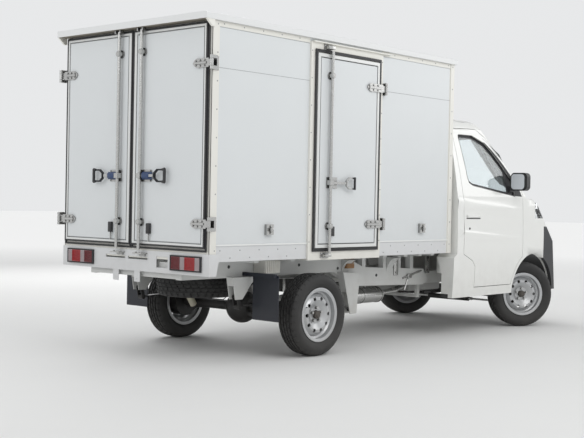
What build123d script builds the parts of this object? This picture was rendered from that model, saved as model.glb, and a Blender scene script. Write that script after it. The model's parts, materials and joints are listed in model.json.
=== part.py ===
from build123d import *
import math
import os

os.makedirs("parts", exist_ok=True)

# Mini truck with an insulated box body, in millimetres.
# Its front is towards -Y, its left side towards +X, and the tyres stand on Z = 0.

# Chassis sizes
WHEELBASE = 3050
FRONT_OVERHANG = 590
TRACK = 1420
TYRE_RADIUS = 300
TYRE_WIDTH = 177
RIM_RADIUS = 195
KINGPIN_OFFSET = 100
STEER_AT_REST = -33
STEER_ARM = 120

# Box body sizes
BOX_HALF = 766
BOX_LENGTH = 2824
BOX_WALL = 60
BOX_FLOOR_Z = 710
RAIL_TOP_Z = 814
ROOF_TOP_Z = 2332
ROOF_THICK = 45
ROOF_SIDE = 22
HOOD_REACH = 81
POST_WIDTH = 52
POST_PROUD = 6
CLEAR = 5

# Places along the truck: the cab's rear wall is CAB_BACK behind the front axle, and the box follows it
CAB_BACK = 1305
CAB_GAP = 30
REAR_OVERHANG = CAB_BACK + CAB_GAP + BOX_LENGTH + HOOD_REACH - WHEELBASE
LENGTH = FRONT_OVERHANG + WHEELBASE + REAR_OVERHANG
REAR_AXLE_Y = LENGTH / 2 - REAR_OVERHANG
FRONT_AXLE_Y = REAR_AXLE_Y - WHEELBASE
CAB_REAR_Y = FRONT_AXLE_Y + CAB_BACK
BOX_FRONT_Y = CAB_REAR_Y + CAB_GAP
BOX_REAR_Y = BOX_FRONT_Y + BOX_LENGTH
ROOF_BAND_Z = ROOF_TOP_Z - ROOF_THICK
AXLE_Z = TYRE_RADIUS
WHEEL_X = TRACK / 2
KINGPIN_X = WHEEL_X - KINGPIN_OFFSET

# Cab sizes
CAB_SKIN = 45
CAB_HALF = 815
CAB_SILL_Z = 330
CAB_FLOOR_Z = 565
ARCH_RADIUS = 376
ARCH_SHIFT = 15
DOOR_THICK = 60
GLASS = 6

# Wheel sizes
VENT_HOLES = 10
WHEEL_NUTS = 5
NUT_CIRCLE = 100
NUT_HOLE_RADIUS = 7


def fa(offset):
    """Y of a place given by its distance behind the front axle."""
    return FRONT_AXLE_Y + offset


def ra(offset):
    """Y of a place given by its distance behind the rear axle."""
    return REAR_AXLE_Y + offset


def block(x, y, z):
    """Block between two limits on each axis."""
    return Pos((x[0] + x[1]) / 2, (y[0] + y[1]) / 2, (z[0] + z[1]) / 2) * Box(
        abs(x[1] - x[0]), abs(y[1] - y[0]), abs(z[1] - z[0])
    )


def rod(start, end, radius):
    """Round bar from one point to another."""
    run = Vector(*end) - Vector(*start)
    plane = Plane(origin=start, z_dir=run)
    return extrude(plane * Circle(radius), amount=run.length)


def outline(to_space, start, steps):
    """Face whose edge runs from start through lines and (via, end) arcs, and closes itself."""
    edges = []
    here = start
    for step in steps + [start]:
        if isinstance(step[0], tuple):
            via, end = step
            edges.append(Edge.make_three_point_arc(to_space(here), to_space(via), to_space(end)))
            here = end
        elif step != here:
            edges.append(Edge.make_line(to_space(here), to_space(step)))
            here = step
    return Face(Wire(edges))


def side_view(point):
    return Vector(0, point[0], point[1])


def front_view(point):
    return Vector(point[0], 0, point[1])


def plan_view(point):
    return Vector(point[0], point[1], 0)


def across(face, x0, x1):
    """Side-view face pushed along X between two limits."""
    return extrude(Pos(x0, 0, 0) * face, amount=x1 - x0, dir=(1, 0, 0))


def along(face, y0, y1):
    """Front-view face pushed along Y between two limits."""
    return extrude(Pos(0, y0, 0) * face, amount=y1 - y0, dir=(0, 1, 0))


def upward(face, z0, z1):
    """Plan-view face pushed along Z between two limits."""
    return extrude(Pos(0, 0, z0) * face, amount=z1 - z0, dir=(0, 0, 1))


def both(shape):
    """A shape and its mirror image across the truck's middle plane."""
    return shape + mirror(shape, about=Plane.YZ)


def save(name, shape):
    shape.label = name
    export_step(shape, f"parts/{name}.step")


# Cab outer form

# Front faces, each a plan curve pushed up and back along its slope. Columns: distance of the
# centre line point behind the front axle, its height, slope in degrees, set-back at the corners,
# corner radius in plan.
FRONT_FACES = {
    "windscreen": (-85, 1190, 38, 110, 150),
    "bonnet": (-90, 1180, 25, 30, 200),
    "nose": (-490, 925, 48, 150, 200),
    "bumper": (-FRONT_OVERHANG, CAB_SILL_Z, 84, 70, 220),
}
FORM_BACK = 1700
FORM_TOP = 2000
COWL_Z = 1183


def front_prism(name, inset):
    """Space behind one front face, bounded at the corners by round faces that follow its slope."""
    back, height, slope, set_back, corner = FRONT_FACES[name]
    rise = math.sin(math.radians(slope))
    run = math.cos(math.radians(slope))
    half = CAB_HALF + 15 - inset
    shoulder = set_back * rise
    side = (half, shoulder + corner * rise)
    middle = (half - corner, shoulder)
    turn = (half - corner * 0.29, shoulder + corner * rise * 0.29)
    right_turn = (turn, middle)
    left_turn = ((-turn[0], turn[1]), (-side[0], side[1]))
    if name == "windscreen":
        right_turn = middle
        left_turn = (-side[0], side[1])
    frame_plane = Plane(origin=(0, fa(back) + inset / rise, height), x_dir=(1, 0, 0), z_dir=(0, run, rise))
    face = outline(
        lambda point: frame_plane.from_local_coords(Vector(point[0], point[1], 0)),
        (half + 120, 4000),
        [side, right_turn, ((0, 0), (-middle[0], middle[1])), left_turn, (-half - 120, 4000)],
    )
    return extrude(face, amount=2500, dir=(0, run, rise), both=True)


def cab_section(inset):
    """Front view of the cab: sill, bulging side, leaning window line, cant rail and roof crown."""
    half = CAB_HALF - inset
    sill = CAB_SILL_Z + inset
    crown = 1882 - inset
    return outline(
        front_view,
        (-half + 15, sill),
        [
            (half - 15, sill),
            ((half, 780), (half - 12, 1190)),
            ((half - 57, 1460), (half - 115, 1720 - inset)),
            ((half - 143, crown - 80), (half - 225, crown - 26)),
            ((0, crown), (-half + 225, crown - 26)),
            ((-half + 143, crown - 80), (-half + 115, 1720 - inset)),
            ((-half + 57, 1460), (-half + 12, 1190)),
            ((-half, 780), (-half + 15, sill)),
        ],
    )


def cab_profile(inset):
    """Side view of the cab: rear wall, roof and floor line, left open towards the front."""
    rear = CAB_REAR_Y - inset
    return outline(
        side_view,
        (rear + 45, CAB_SILL_Z + inset),
        [
            (rear + 45, 672),
            (rear, 698),
            (rear - 15, 1820 - inset),
            ((rear - 27, 1862 - inset), (rear - 60, 1884 - inset)),
            ((fa(950), 1866 - inset), (fa(680), 1768 - inset)),
            (fa(560), 1715 - inset),
            (fa(-900), 1715 - inset),
            (fa(-900), CAB_SILL_Z + inset),
        ],
    )


def cab_form(inset):
    """Outer form of the cab, or the same form moved inwards all round."""
    body = along(cab_section(inset), fa(-800), fa(FORM_BACK))
    body &= across(cab_profile(inset), -CAB_HALF - 50, CAB_HALF + 50)
    split = COWL_Z - inset
    upper = body & block((-900, 900), (fa(-800), fa(FORM_BACK)), (split, FORM_TOP))
    upper &= front_prism("windscreen", inset)
    lower = body & block((-900, 900), (fa(-800), fa(FORM_BACK)), (0, split))
    for name in ("nose", "bumper", "bonnet"):
        lower &= front_prism(name, inset)
    return upper + lower


# Door outline in side view, distances behind the front axle
DOOR_ARCH = ARCH_RADIUS + 35
DOOR_FOOT_Z = 412
ARCH_Y = fa(ARCH_SHIFT)


def arch_point(radius, height):
    """Side-view point at a height on the rear half of a circle about the front wheel arch."""
    return (ARCH_Y + math.sqrt(radius**2 - (height - AXLE_Z) ** 2), height)


def cab_door_outline(grow):
    face = outline(
        side_view,
        (fa(1018), DOOR_FOOT_Z),
        [
            (fa(1018), 590),
            (fa(1060), 640),
            (fa(1202), 700),
            (fa(1200), 890),
            (fa(1208), 1160),
            (fa(1250), 1765),
            (fa(880), 1775),
            (fa(745), 1712),
            (fa(585), 1590),
            (fa(262), 1310),
            (fa(225), 1215),
            (fa(225), 655),
            (arch_point(DOOR_ARCH, 560), arch_point(DOOR_ARCH, DOOR_FOOT_Z)),
        ],
    )
    return offset(face, grow, kind=Kind.INTERSECTION) if grow else face


def cab_window_outline(grow):
    face = outline(
        side_view,
        (fa(366), 1205),
        [
            (fa(1040), 1286),
            ((fa(1098), 1310), (fa(1114), 1350)),
            (fa(1165), 1695),
            ((fa(1161), 1709), (fa(1145), 1714)),
            (fa(945), 1715),
            (fa(765), 1658),
            (fa(657), 1580),
            (fa(372), 1325),
        ],
    )
    return offset(face, grow, kind=Kind.INTERSECTION) if grow else face


def front_region(points, grow, y0, y1):
    face = outline(front_view, points[0], points[1:])
    if grow:
        face = offset(face, grow, kind=Kind.INTERSECTION)
    return along(face, y0, y1)


WINDSCREEN = [(-700, 1222), (700, 1222), (622, 1735), (-622, 1735)]
REAR_WINDOW = [(-520, 1340), (520, 1340), (500, 1660), (-500, 1660)]
BONNET_REAR_Y = fa(-150)
BONNET = [
    (-380, 935),
    (380, 935),
    (405, 1012),
    (610, 1092),
    (700, 1173),
    (700, 1240),
    (-700, 1240),
    (-700, 1173),
    (-610, 1092),
    (-405, 1012),
]
HEADLAMP = [
    (395, 932),
    (620, 932),
    (770, 980),
    (860, 1030),
    (860, 1185),
    (790, 1185),
    (640, 1088),
    (420, 1003),
]
BUMPER = [(fa(-165), 925), (fa(-700), 890), (fa(-700), 200), (fa(-165), 200)]

outer = cab_form(0)
inner = cab_form(CAB_SKIN)
skin_inner = cab_form(30)
door_inner = cab_form(DOOR_THICK)
glass_outer = cab_form(14)
glass_inner = cab_form(14 + GLASS)


def between(big, small, region):
    """The part of a region that lies between two sizes of the cab form."""
    return (big & region) - small


def wheelhouse(radius, x0, x1):
    """Round space over a front wheel, on the right side."""
    return Pos(0, ARCH_Y, AXLE_Z) * extrude(Pos(-x1, 0, 0) * (Plane.YZ * Circle(radius)), amount=x1 - x0)


# Cab shell: the cabin, engine space and floor spaces are taken out of the outer form
SEAT_BASE_Z = 790
BUMPER_GAP = 3
FLOOR_THICK = 30
cabin = inner & block((-800, 800), (fa(210), fa(1500)), (CAB_FLOOR_Z, 2000))
cabin -= block((-800, 800), (fa(620), fa(1500)), (CAB_FLOOR_Z, SEAT_BASE_Z))
cowl_space = inner & block((-800, 800), (fa(-60), fa(215)), (1175, 2000))
nose_space = skin_inner & block((-800, 800), (fa(-700), fa(180)), (200, 1140))
nose_floor = block((-782, 782), (fa(-560), fa(180)), (200, 370))
under_floor = block((-690, 690), (fa(150), fa(1500)), (200, CAB_FLOOR_Z - FLOOR_THICK))
under_seats = block((-640, 640), (fa(650), fa(1500)), (200, SEAT_BASE_Z - 25))
bumper_face = outline(side_view, BUMPER[0], BUMPER[1:])
bumper_zone = across(bumper_face, -900, 900)
bumper_gap = across(offset(bumper_face, BUMPER_GAP, kind=Kind.INTERSECTION), -900, 900)

shell = outer - cabin - cowl_space - nose_space - nose_floor - under_floor - under_seats - bumper_gap
shell -= both(wheelhouse(ARCH_RADIUS, 430, 950))
liner = wheelhouse(ARCH_RADIUS + 10, 430, 784) - wheelhouse(ARCH_RADIUS, 440, 950)
rear_liner = liner & block((-784, 0), (fa(-160), fa(500)), (CAB_SILL_Z + 60, 900))
front_liner = cab_form(36) & (liner & block((-784, 0), (fa(-500), fa(-160)), (CAB_SILL_Z + 60, 900)))
shell += both(rear_liner + front_liner)
door_hole = across(cab_door_outline(CLEAR), -900, -560)
shell -= both(door_hole)
shell -= front_region(WINDSCREEN, 0, fa(-600), fa(800))
shell -= front_region(REAR_WINDOW, 0, fa(1100), fa(1500))
shell -= front_region(BONNET, CLEAR, fa(-700), BONNET_REAR_Y + CLEAR)
shell -= both(mirror(front_region(HEADLAMP, 0, fa(-700), fa(0)), about=Plane.YZ))
shell = shell.solids().sort_by(SortBy.VOLUME)[-1]
save("cab_shell", Part() + shell)

windscreen = between(glass_outer, glass_inner, front_region(WINDSCREEN, 0, fa(-600), fa(800)))
rear_window = between(glass_outer, glass_inner, front_region(REAR_WINDOW, 0, fa(1100), fa(1500)))
save("cab_glass", windscreen + rear_window)

# Cab doors as thick as the side, with the window cut through
door = between(outer, door_inner, across(cab_door_outline(0), -900, -560))
door -= across(cab_window_outline(0), -900, -500)
pane = between(glass_outer, glass_inner, across(cab_window_outline(0), -900, -500))
save("cab_door_right", door)
save("cab_door_left", mirror(door, about=Plane.YZ))
save("door_glass_right", pane)
save("door_glass_left", mirror(pane, about=Plane.YZ))

# Mirrors stand on the front corner of each door window
MIRROR = (-884, fa(410), 1332)
MIRROR_SIZE = (165, 62, 160)
head = Pos(*MIRROR) * Box(*MIRROR_SIZE)
head = fillet(head.edges().filter_by(Axis.Y), 38)
arm = rod((-792, fa(392), 1262), (-850, fa(408), 1275), 15)
foot = block((-806, -760), (fa(372), fa(452)), (1240, 1290)) - glass_outer
wing_mirror = head + arm + foot
save("mirror_right", wing_mirror)
save("mirror_left", mirror(wing_mirror, about=Plane.YZ))

bonnet = between(outer, cab_form(22), front_region(BONNET, 0, fa(-700), BONNET_REAR_Y))
save("bonnet", bonnet)

lamp = between(outer, door_inner, mirror(front_region(HEADLAMP, 0, fa(-700), fa(0)), about=Plane.YZ))
save("headlamps", both(lamp))

# Front bumper and grille, one moulding. Slot columns: foot height, slot height, half width.
GRILLE_SLOTS = [
    (690, 28, 420),
    (735, 28, 400),
    (780, 28, 380),
    (410, 25, 380),
    (450, 25, 380),
    (490, 25, 380),
]
bumper = between(outer, skin_inner, bumper_zone)
bumper -= block((-780, 780), (fa(-560), fa(-100)), (200, 362))
bumper -= both(wheelhouse(ARCH_RADIUS, 430, 950))
for foot_z, slot, half in GRILLE_SLOTS:
    bumper -= block((-half, half), (fa(-700), fa(-400)), (foot_z, foot_z + slot))
save("front_bumper", bumper)

# Dashboard with its instrument hood and steering column
WHEEL_CENTRE = (370, fa(590), 1035)
COLUMN_TILT = 50
COLUMN_START = 60
column_dir = (0, -math.cos(math.radians(COLUMN_TILT)), -math.sin(math.radians(COLUMN_TILT)))


def on_column(distance):
    """Point on the steering column, measured down from the wheel's centre."""
    return tuple(WHEEL_CENTRE[i] + column_dir[i] * distance for i in range(3))


dash_face = outline(
    side_view,
    (fa(214), 1120),
    [(fa(340), 1122), ((fa(420), 1100), (fa(452), 1030)), (fa(440), 930), (fa(370), 800), (fa(214), 780)],
)
dash = door_inner & across(dash_face, -720, 720)
hood_face = outline(side_view, (fa(300), 1100), [(fa(330), 1165), (fa(400), 1150), (fa(420), 1080)])
shroud_face = outline(
    side_view, (fa(380), 980), [(fa(520), 1010), (fa(545), 965), (fa(475), 870), (fa(380), 840)]
)
dash += across(hood_face, 250, 490)
dash += across(shroud_face, WHEEL_CENTRE[0] - 40, WHEEL_CENTRE[0] + 40)
dash += rod(on_column(COLUMN_START), on_column(190), 26)
save("dashboard", dash)

column_plane = Plane(origin=WHEEL_CENTRE, x_dir=(1, 0, 0), z_dir=column_dir)
steering_wheel = Torus(178, 14) + Pos(0, 0, 24) * Cylinder(46, 60)
for angle in (0, 90, 180):
    steering_wheel += Rot(0, 0, angle) * (Pos(104, 0, 10) * Box(130, 30, 12))
save("steering_wheel", column_plane * steering_wheel)

# Seats: one for the driver and a double one. Columns: two sides in X, number of places.
SEATS = [(150, 600, 1), (-600, 90, 2)]
seat_parts = Part()
for x0, x1, places in SEATS:
    cushion = fillet(block((x0, x1), (fa(640), fa(1090)), (SEAT_BASE_Z, 900)).edges(), 25)
    back_face = outline(side_view, (fa(1070), 880), [(fa(1190), 880), (fa(1240), 1480), (fa(1150), 1480)])
    seat_parts += cushion + fillet(across(back_face, x0, x1).edges(), 22)
    for place in range(places):
        middle = x0 + (x1 - x0) * (place + 0.5) / places
        rest = block((middle - 125, middle + 125), (fa(1160), fa(1243)), (1465, 1650))
        seat_parts += fillet(rest.edges(), 24)
save("seats", seat_parts)

# Frame: two C-section rails, stepped over the rear axle and closer together between the front wheels
RAIL_WEB = 5
RAIL_FLANGE = 55
RAIL_OUT_REAR = 480
RAIL_END_Y = BOX_REAR_Y - 24
RAIL_STEP_Y = CAB_REAR_Y + 5
RAIL_OUT_FRONT = 400
FRONT_RAIL_Z = (425, 530)
REAR_RAIL_Z = (575, 695)


def channel_rail(steps, x_out):
    face = outline(side_view, steps[0], steps[1:])
    body = across(face, -x_out, -x_out + RAIL_FLANGE)
    hollow = offset(face, -RAIL_WEB, kind=Kind.INTERSECTION)
    return body - across(hollow, -x_out + RAIL_WEB, -x_out + RAIL_FLANGE + 10)


rear_rail = channel_rail(
    [
        (RAIL_END_Y, REAR_RAIL_Z[0]),
        (ra(-520), REAR_RAIL_Z[0]),
        (ra(-760), 455),
        (RAIL_STEP_Y, FRONT_RAIL_Z[0]),
        (RAIL_STEP_Y, 560),
        (ra(-900), 600),
        (ra(-640), REAR_RAIL_Z[1]),
        (RAIL_END_Y, REAR_RAIL_Z[1]),
    ],
    RAIL_OUT_REAR,
)
front_rail = channel_rail(
    [
        (RAIL_STEP_Y, FRONT_RAIL_Z[0]),
        (fa(-480), FRONT_RAIL_Z[0]),
        (fa(-480), FRONT_RAIL_Z[1]),
        (RAIL_STEP_Y, FRONT_RAIL_Z[1]),
    ],
    RAIL_OUT_FRONT,
)
frame = both(rear_rail + front_rail)
# Cross members. Columns: front, back, bottom, top, half width.
CROSS_MEMBERS = [
    (fa(-470), fa(-420), 430, 520, RAIL_OUT_FRONT),
    (fa(70), fa(120), 430, 520, RAIL_OUT_FRONT),
    (ra(-1180), ra(-1120), 480, 580, RAIL_OUT_REAR),
    (ra(-640), ra(-580), 590, 660, RAIL_OUT_REAR),
    (ra(60), ra(120), 600, 690, RAIL_OUT_REAR),
    (ra(450), ra(510), 600, 690, RAIL_OUT_REAR),
    (RAIL_END_Y - 45, RAIL_END_Y, 580, 690, RAIL_OUT_REAR),
]
for y0, y1, z0, z1, half in CROSS_MEMBERS:
    frame += block((-half + 2, half - 2), (y0, y1), (z0, z1))
# Outriggers where the rails change width, and the dropped member under the gearbox
GEARBOX_FOOT_Z = 330
frame += both(block((-RAIL_OUT_REAR, 3 - RAIL_OUT_FRONT), (RAIL_STEP_Y - 50, RAIL_STEP_Y + 5), (440, 528)))
frame += block((-385, 385), (fa(1250), fa(1290)), (GEARBOX_FOOT_Z - 24, GEARBOX_FOOT_Z))
frame += both(block((-398, -375), (fa(1250), fa(1290)), (GEARBOX_FOOT_Z - 24, 440)))
# Cab mounts and bumper brackets
for place in (300, 560):
    mount_y = (fa(place - 30), fa(place + 30))
    frame += both(block((-RAIL_OUT_FRONT, -345), mount_y, (FRONT_RAIL_Z[1], CAB_FLOOR_Z - FLOOR_THICK)))
frame += both(skin_inner & block((-390, -350), (fa(-600), fa(-480)), (440, 500)))
# Floor bearers of the box body. Columns: place along the truck, height of the rail under it.
BEARERS = [
    (BOX_FRONT_Y + 155, 560),
    (ra(-1380), 565),
    (ra(-1180), 575),
    (ra(-900), 585),
    (ra(-560), 680),
    (ra(-180), 680),
    (ra(200), 680),
    (ra(580), 680),
    (BOX_REAR_Y - 149, 680),
]
BEARER_HALF = 22
for place, rail_z in BEARERS:
    span = (place - BEARER_HALF, place + BEARER_HALF)
    frame += both(block((-RAIL_OUT_REAR, -RAIL_OUT_REAR + 50), span, (rail_z, BOX_FLOOR_Z)))
    frame += block((76 - BOX_HALF, BOX_HALF - 76), span, (BOX_FLOOR_Z - 22, BOX_FLOOR_Z))
# Spring hangers, each a folded plate open downwards for the spring
SPRING_X = (-537, -487)
HANGER_X = (-544, -RAIL_OUT_REAR)
front_hanger = across(
    outline(side_view, (ra(-770), 560), [(ra(-560), 575), (ra(-655), 245), (ra(-735), 245)]), *HANGER_X
)
front_hanger -= block((SPRING_X[0] - 1, SPRING_X[1] + 1), (ra(-900), ra(-400)), (200, 420))
rear_hanger = across(
    outline(
        side_view,
        (ra(430), REAR_RAIL_Z[0] + 5),
        [(ra(660), REAR_RAIL_Z[0] + 5), (ra(630), 425), (ra(560), 425)],
    ),
    *HANGER_X,
)
rear_hanger -= block((SPRING_X[0] - 1, SPRING_X[1] + 1), (ra(400), ra(700)), (200, 520))
frame += both(front_hanger + rear_hanger)
save("frame", frame)

# Front suspension: cross member, rack housing, lower arms, and struts beside the kingpin lines
RACK_Y = fa(185)
RACK_Z = AXLE_Z - 74
STRUT_X = -KINGPIN_X + 36
HOUSING_HALF = 225
subframe = block((-400, 400), (fa(-60), fa(60)), (250, 330))
subframe += both(block((-400, -340), (fa(-60), fa(60)), (330, FRONT_RAIL_Z[0])))
subframe += both(block((-215, -185), (fa(60), RACK_Y - 5), (246, 268)))
subframe += rod((-HOUSING_HALF, RACK_Y, RACK_Z), (HOUSING_HALF, RACK_Y, RACK_Z), 24)
subframe -= rod((-HOUSING_HALF - 5, RACK_Y, RACK_Z), (HOUSING_HALF + 5, RACK_Y, RACK_Z), 15)
arm_face = outline(
    plan_view,
    (-400, fa(45)),
    [
        (-KINGPIN_X, fa(20)),
        (-KINGPIN_X - 16, fa(0)),
        (-KINGPIN_X, fa(-20)),
        (-400, fa(-150)),
        (-400, fa(-100)),
        (-500, fa(-40)),
        (-400, fa(-5)),
    ],
)
side_parts = upward(arm_face, 205, 231) + block((-402, -380), (fa(-150), fa(45)), (205, 255))
side_parts += rod((STRUT_X, fa(0), 402), (STRUT_X, fa(0), 674), 22)
side_parts += rod((STRUT_X, fa(0), 560), (STRUT_X, fa(0), 570), 36)
side_parts += rod((STRUT_X, fa(0), 650), (STRUT_X, fa(0), 670), 30)
side_parts += rod((-KINGPIN_X, fa(0), 402), (-KINGPIN_X, fa(0), 414), 28)
side_parts += block((-KINGPIN_X, STRUT_X), (fa(-14), fa(14)), (402, 414))
save("front_suspension", subframe + both(side_parts))

# Wheels, made about their own axle along X with the outer face towards -X


def turned(points):
    """Ring turned about the X axle from (x, radius) points."""
    face = outline(lambda p: Vector(p[0], 0, p[1]), points[0], points[1:])
    return revolve(face, axis=Axis.X, revolution_arc=360)


BEAD_RADIUS = RIM_RADIUS - 17
RIM_HALF = TYRE_WIDTH / 2 - 22


def tyre_body():
    """Tyre: beads, bulging side walls, rounded shoulders and a slightly crowned tread."""
    half = TYRE_WIDTH / 2
    belly = (TYRE_RADIUS + RIM_RADIUS) / 2
    return turned(
        [
            (-RIM_HALF, BEAD_RADIUS),
            (-RIM_HALF, RIM_RADIUS + 3),
            ((-half, belly), (-half + 20, TYRE_RADIUS - 18)),
            ((-half + 27, TYRE_RADIUS - 6), (-half + 42, TYRE_RADIUS - 2)),
            ((0, TYRE_RADIUS), (half - 42, TYRE_RADIUS - 2)),
            ((half - 27, TYRE_RADIUS - 6), (half - 20, TYRE_RADIUS - 18)),
            ((half, belly), (RIM_HALF, RIM_RADIUS + 3)),
            (RIM_HALF, BEAD_RADIUS),
            (RIM_HALF - 10, BEAD_RADIUS),
            ((0, BEAD_RADIUS + 60), (-RIM_HALF + 10, BEAD_RADIUS)),
        ]
    )


def rim_body():
    """Pressed steel wheel: barrel with a drop centre, dished disc, vent holes and nut holes."""
    half = RIM_HALF
    seat = BEAD_RADIUS
    barrel = turned(
        [
            (-half, seat),
            (-half, RIM_RADIUS),
            (-half - 7, RIM_RADIUS + 2),
            (-half - 8, RIM_RADIUS - 3),
            (-half - 4, seat - 5),
            (-half + 28, seat - 8),
            (-half + 42, seat - 28),
            (half - 30, seat - 26),
            (half - 16, seat - 8),
            (half + 4, seat - 5),
            (half + 8, RIM_RADIUS - 3),
            (half + 7, RIM_RADIUS + 2),
            (half, RIM_RADIUS),
            (half, seat),
            (half - 14, seat),
            (half - 28, seat - 19),
            (-half + 44, seat - 21),
            (-half + 30, seat),
        ]
    )
    disc = turned(
        [
            (-34, 32),
            (-34, 62),
            (-46, 84),
            (-58, 108),
            (-56, 128),
            (-34, 152),
            (-16, 152),
            (-28, 145),
            (-50, 124),
            (-51, 108),
            (-40, 84),
            (-28, 64),
            (-28, 32),
        ]
    )
    for place in range(VENT_HOLES):
        angle = math.radians(360 / VENT_HOLES * place)
        centre = (-50, 119 * math.cos(angle), 119 * math.sin(angle))
        disc -= Pos(*centre) * (Rot(0, 90, 0) * Cylinder(14, 60))
    for place in range(WHEEL_NUTS):
        angle = math.radians(360 / WHEEL_NUTS * place + 18)
        centre = (-31, NUT_CIRCLE / 2 * math.cos(angle), NUT_CIRCLE / 2 * math.sin(angle))
        disc -= Pos(*centre) * (Rot(0, 90, 0) * Cylinder(NUT_HOLE_RADIUS, 40))
    return barrel + disc


tyre_form = tyre_body()
rim_form = rim_body()
# Wheels. Columns: name, side, axle place, steered or not.
WHEELS = [
    ("front_right", -1, FRONT_AXLE_Y, True),
    ("front_left", 1, FRONT_AXLE_Y, True),
    ("rear_right", -1, REAR_AXLE_Y, False),
    ("rear_left", 1, REAR_AXLE_Y, False),
]


def place_wheel(shape, side, axle_y, steered):
    """Wheel-frame shape (outer face -X) set at its corner, turned with the steering at rest."""
    if side > 0:
        shape = mirror(shape, about=Plane.YZ)
    if not steered:
        return Pos(side * WHEEL_X, axle_y, AXLE_Z) * shape
    turned_wheel = Rot(0, 0, STEER_AT_REST) * (Pos(side * KINGPIN_OFFSET, 0, 0) * shape)
    return Pos(side * KINGPIN_X, axle_y, AXLE_Z) * turned_wheel


for name, side, axle_y, steered in WHEELS:
    save(f"tyre_{name}", place_wheel(tyre_form, side, axle_y, steered))
    save(f"rim_{name}", place_wheel(rim_form, side, axle_y, steered))

# Knuckle with brake disc, caliper and hub, in the wheel frame of the right side
DISC_RADIUS = 116
disc_line = [(-27, 0), (-27, 60), (-14, 60), (-14, DISC_RADIUS), (-4, DISC_RADIUS), (-4, 60)]
knuckle = turned(disc_line + [(30, 44), (48, 44), (48, 0)])
knuckle += turned([(-52, 0), (-52, 28), (-27, 28), (-27, 0)])
knuckle += block((40, KINGPIN_OFFSET - 10), (-38, 38), (-52, 62))
knuckle += block((KINGPIN_OFFSET - 45, KINGPIN_OFFSET + 10), (-26, 26), (-62, 96))
knuckle += Pos(KINGPIN_OFFSET, 0, 76) * Cylinder(34, 40)
knuckle += Pos(KINGPIN_OFFSET, 0, -50) * Cylinder(26, 24)
knuckle += block((KINGPIN_OFFSET - 18, KINGPIN_OFFSET + 14), (0, STEER_ARM + 16), (-62, -44))
caliper = block((-34, 14), (-125, -80), (-45, 60)) - turned([(-18, 0), (-18, 124), (0, 124), (0, 0)])
knuckle += caliper + block((8, 60), (-100, -20), (-30, 30))
save("knuckle_right", place_wheel(knuckle, -1, FRONT_AXLE_Y, True))
save("knuckle_left", place_wheel(knuckle, 1, FRONT_AXLE_Y, True))

# Steering rack with its tie rods, which end under the steering arms
rest = math.radians(STEER_AT_REST)
arm_x = -STEER_ARM * math.sin(rest)
arm_y = STEER_ARM * math.cos(rest)
TIE_END_Z = RACK_Z - 12
rack = rod((-330 + arm_x, RACK_Y, RACK_Z), (330 + arm_x, RACK_Y, RACK_Z), 14)
for side in (-1, 1):
    inner_end = (side * 320 + arm_x, RACK_Y, RACK_Z)
    outer_end = (side * KINGPIN_X + arm_x, fa(arm_y - 8), TIE_END_Z)
    rack += rod(inner_end, outer_end, 9) + Pos(*outer_end) * Cylinder(15, 20)
save("steering_rack", rack)

# Rear axle with its differential, brake drums and spring seats
AXLE_TUBE = 38
DRUM_RADIUS = 118
LEAF = 8
LEAF_STEP = 10
LEAF_Z = 380
LEAVES = [(-700, 575), (-500, 430), (-350, 300), (-220, 190)]
lowest_leaf_z = LEAF_Z - LEAF_STEP * (len(LEAVES) - 1)
axle = rod((-WHEEL_X + 60, ra(0), AXLE_Z), (WHEEL_X - 60, ra(0), AXLE_Z), AXLE_TUBE)
case = Pos(0, ra(0), AXLE_Z) * Sphere(125)
axle += case & block((-105, 105), (ra(-140), ra(140)), (AXLE_Z - 140, AXLE_Z + 140))
axle += rod((0, ra(0), AXLE_Z), (0, ra(-215), AXLE_Z + 12), 58)
for side in (-1, 1):
    inner_x = side * (WHEEL_X - 86)
    face_x = side * (WHEEL_X + 27)
    axle += rod((inner_x, ra(0), AXLE_Z), (face_x, ra(0), AXLE_Z), DRUM_RADIUS)
    axle += rod((face_x, ra(0), AXLE_Z), (side * (WHEEL_X + 52), ra(0), AXLE_Z), 28)
axle += both(block(SPRING_X, (ra(-45), ra(45)), (AXLE_Z, lowest_leaf_z - 0.6)))
save("rear_axle", axle)


def leaf_z(y, drop):
    """Height of a leaf's underside at a distance behind the rear axle."""
    sag = 0.00022 if y < 0 else 0.00004
    return LEAF_Z - drop - sag * y**2


# Rear leaf springs with eyes, shackles and axle clamps, and the shock absorbers
springs = Part()
for leaf, (y0, y1) in enumerate(LEAVES):
    drop = leaf * LEAF_STEP
    for start, end in ((y0, 0), (0, y1)):
        middle = (start + end) / 2
        leaf_face = outline(
            side_view,
            (ra(start), leaf_z(start, drop)),
            [
                ((ra(middle), leaf_z(middle, drop)), (ra(end), leaf_z(end, drop))),
                (ra(end), leaf_z(end, drop) + LEAF),
                ((ra(middle), leaf_z(middle, drop) + LEAF), (ra(start), leaf_z(start, drop) + LEAF)),
            ],
        )
        springs += across(leaf_face, *SPRING_X)
    if drop:
        springs += block(SPRING_X, (ra(-60), ra(60)), (LEAF_Z - drop + LEAF, LEAF_Z - drop + LEAF_STEP))
front_eye = (ra(LEAVES[0][0]), leaf_z(LEAVES[0][0], 0) + LEAF / 2)
rear_eye = (ra(LEAVES[0][1]), leaf_z(LEAVES[0][1], 0) + LEAF / 2)
SHACKLE_TOP = (ra(595), 445)
for y, z in (front_eye, rear_eye):
    springs += rod((SPRING_X[0], y, z), (SPRING_X[1], y, z), 18)
springs += rod((SPRING_X[0], *SHACKLE_TOP), (SPRING_X[1], *SHACKLE_TOP), 12)
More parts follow.
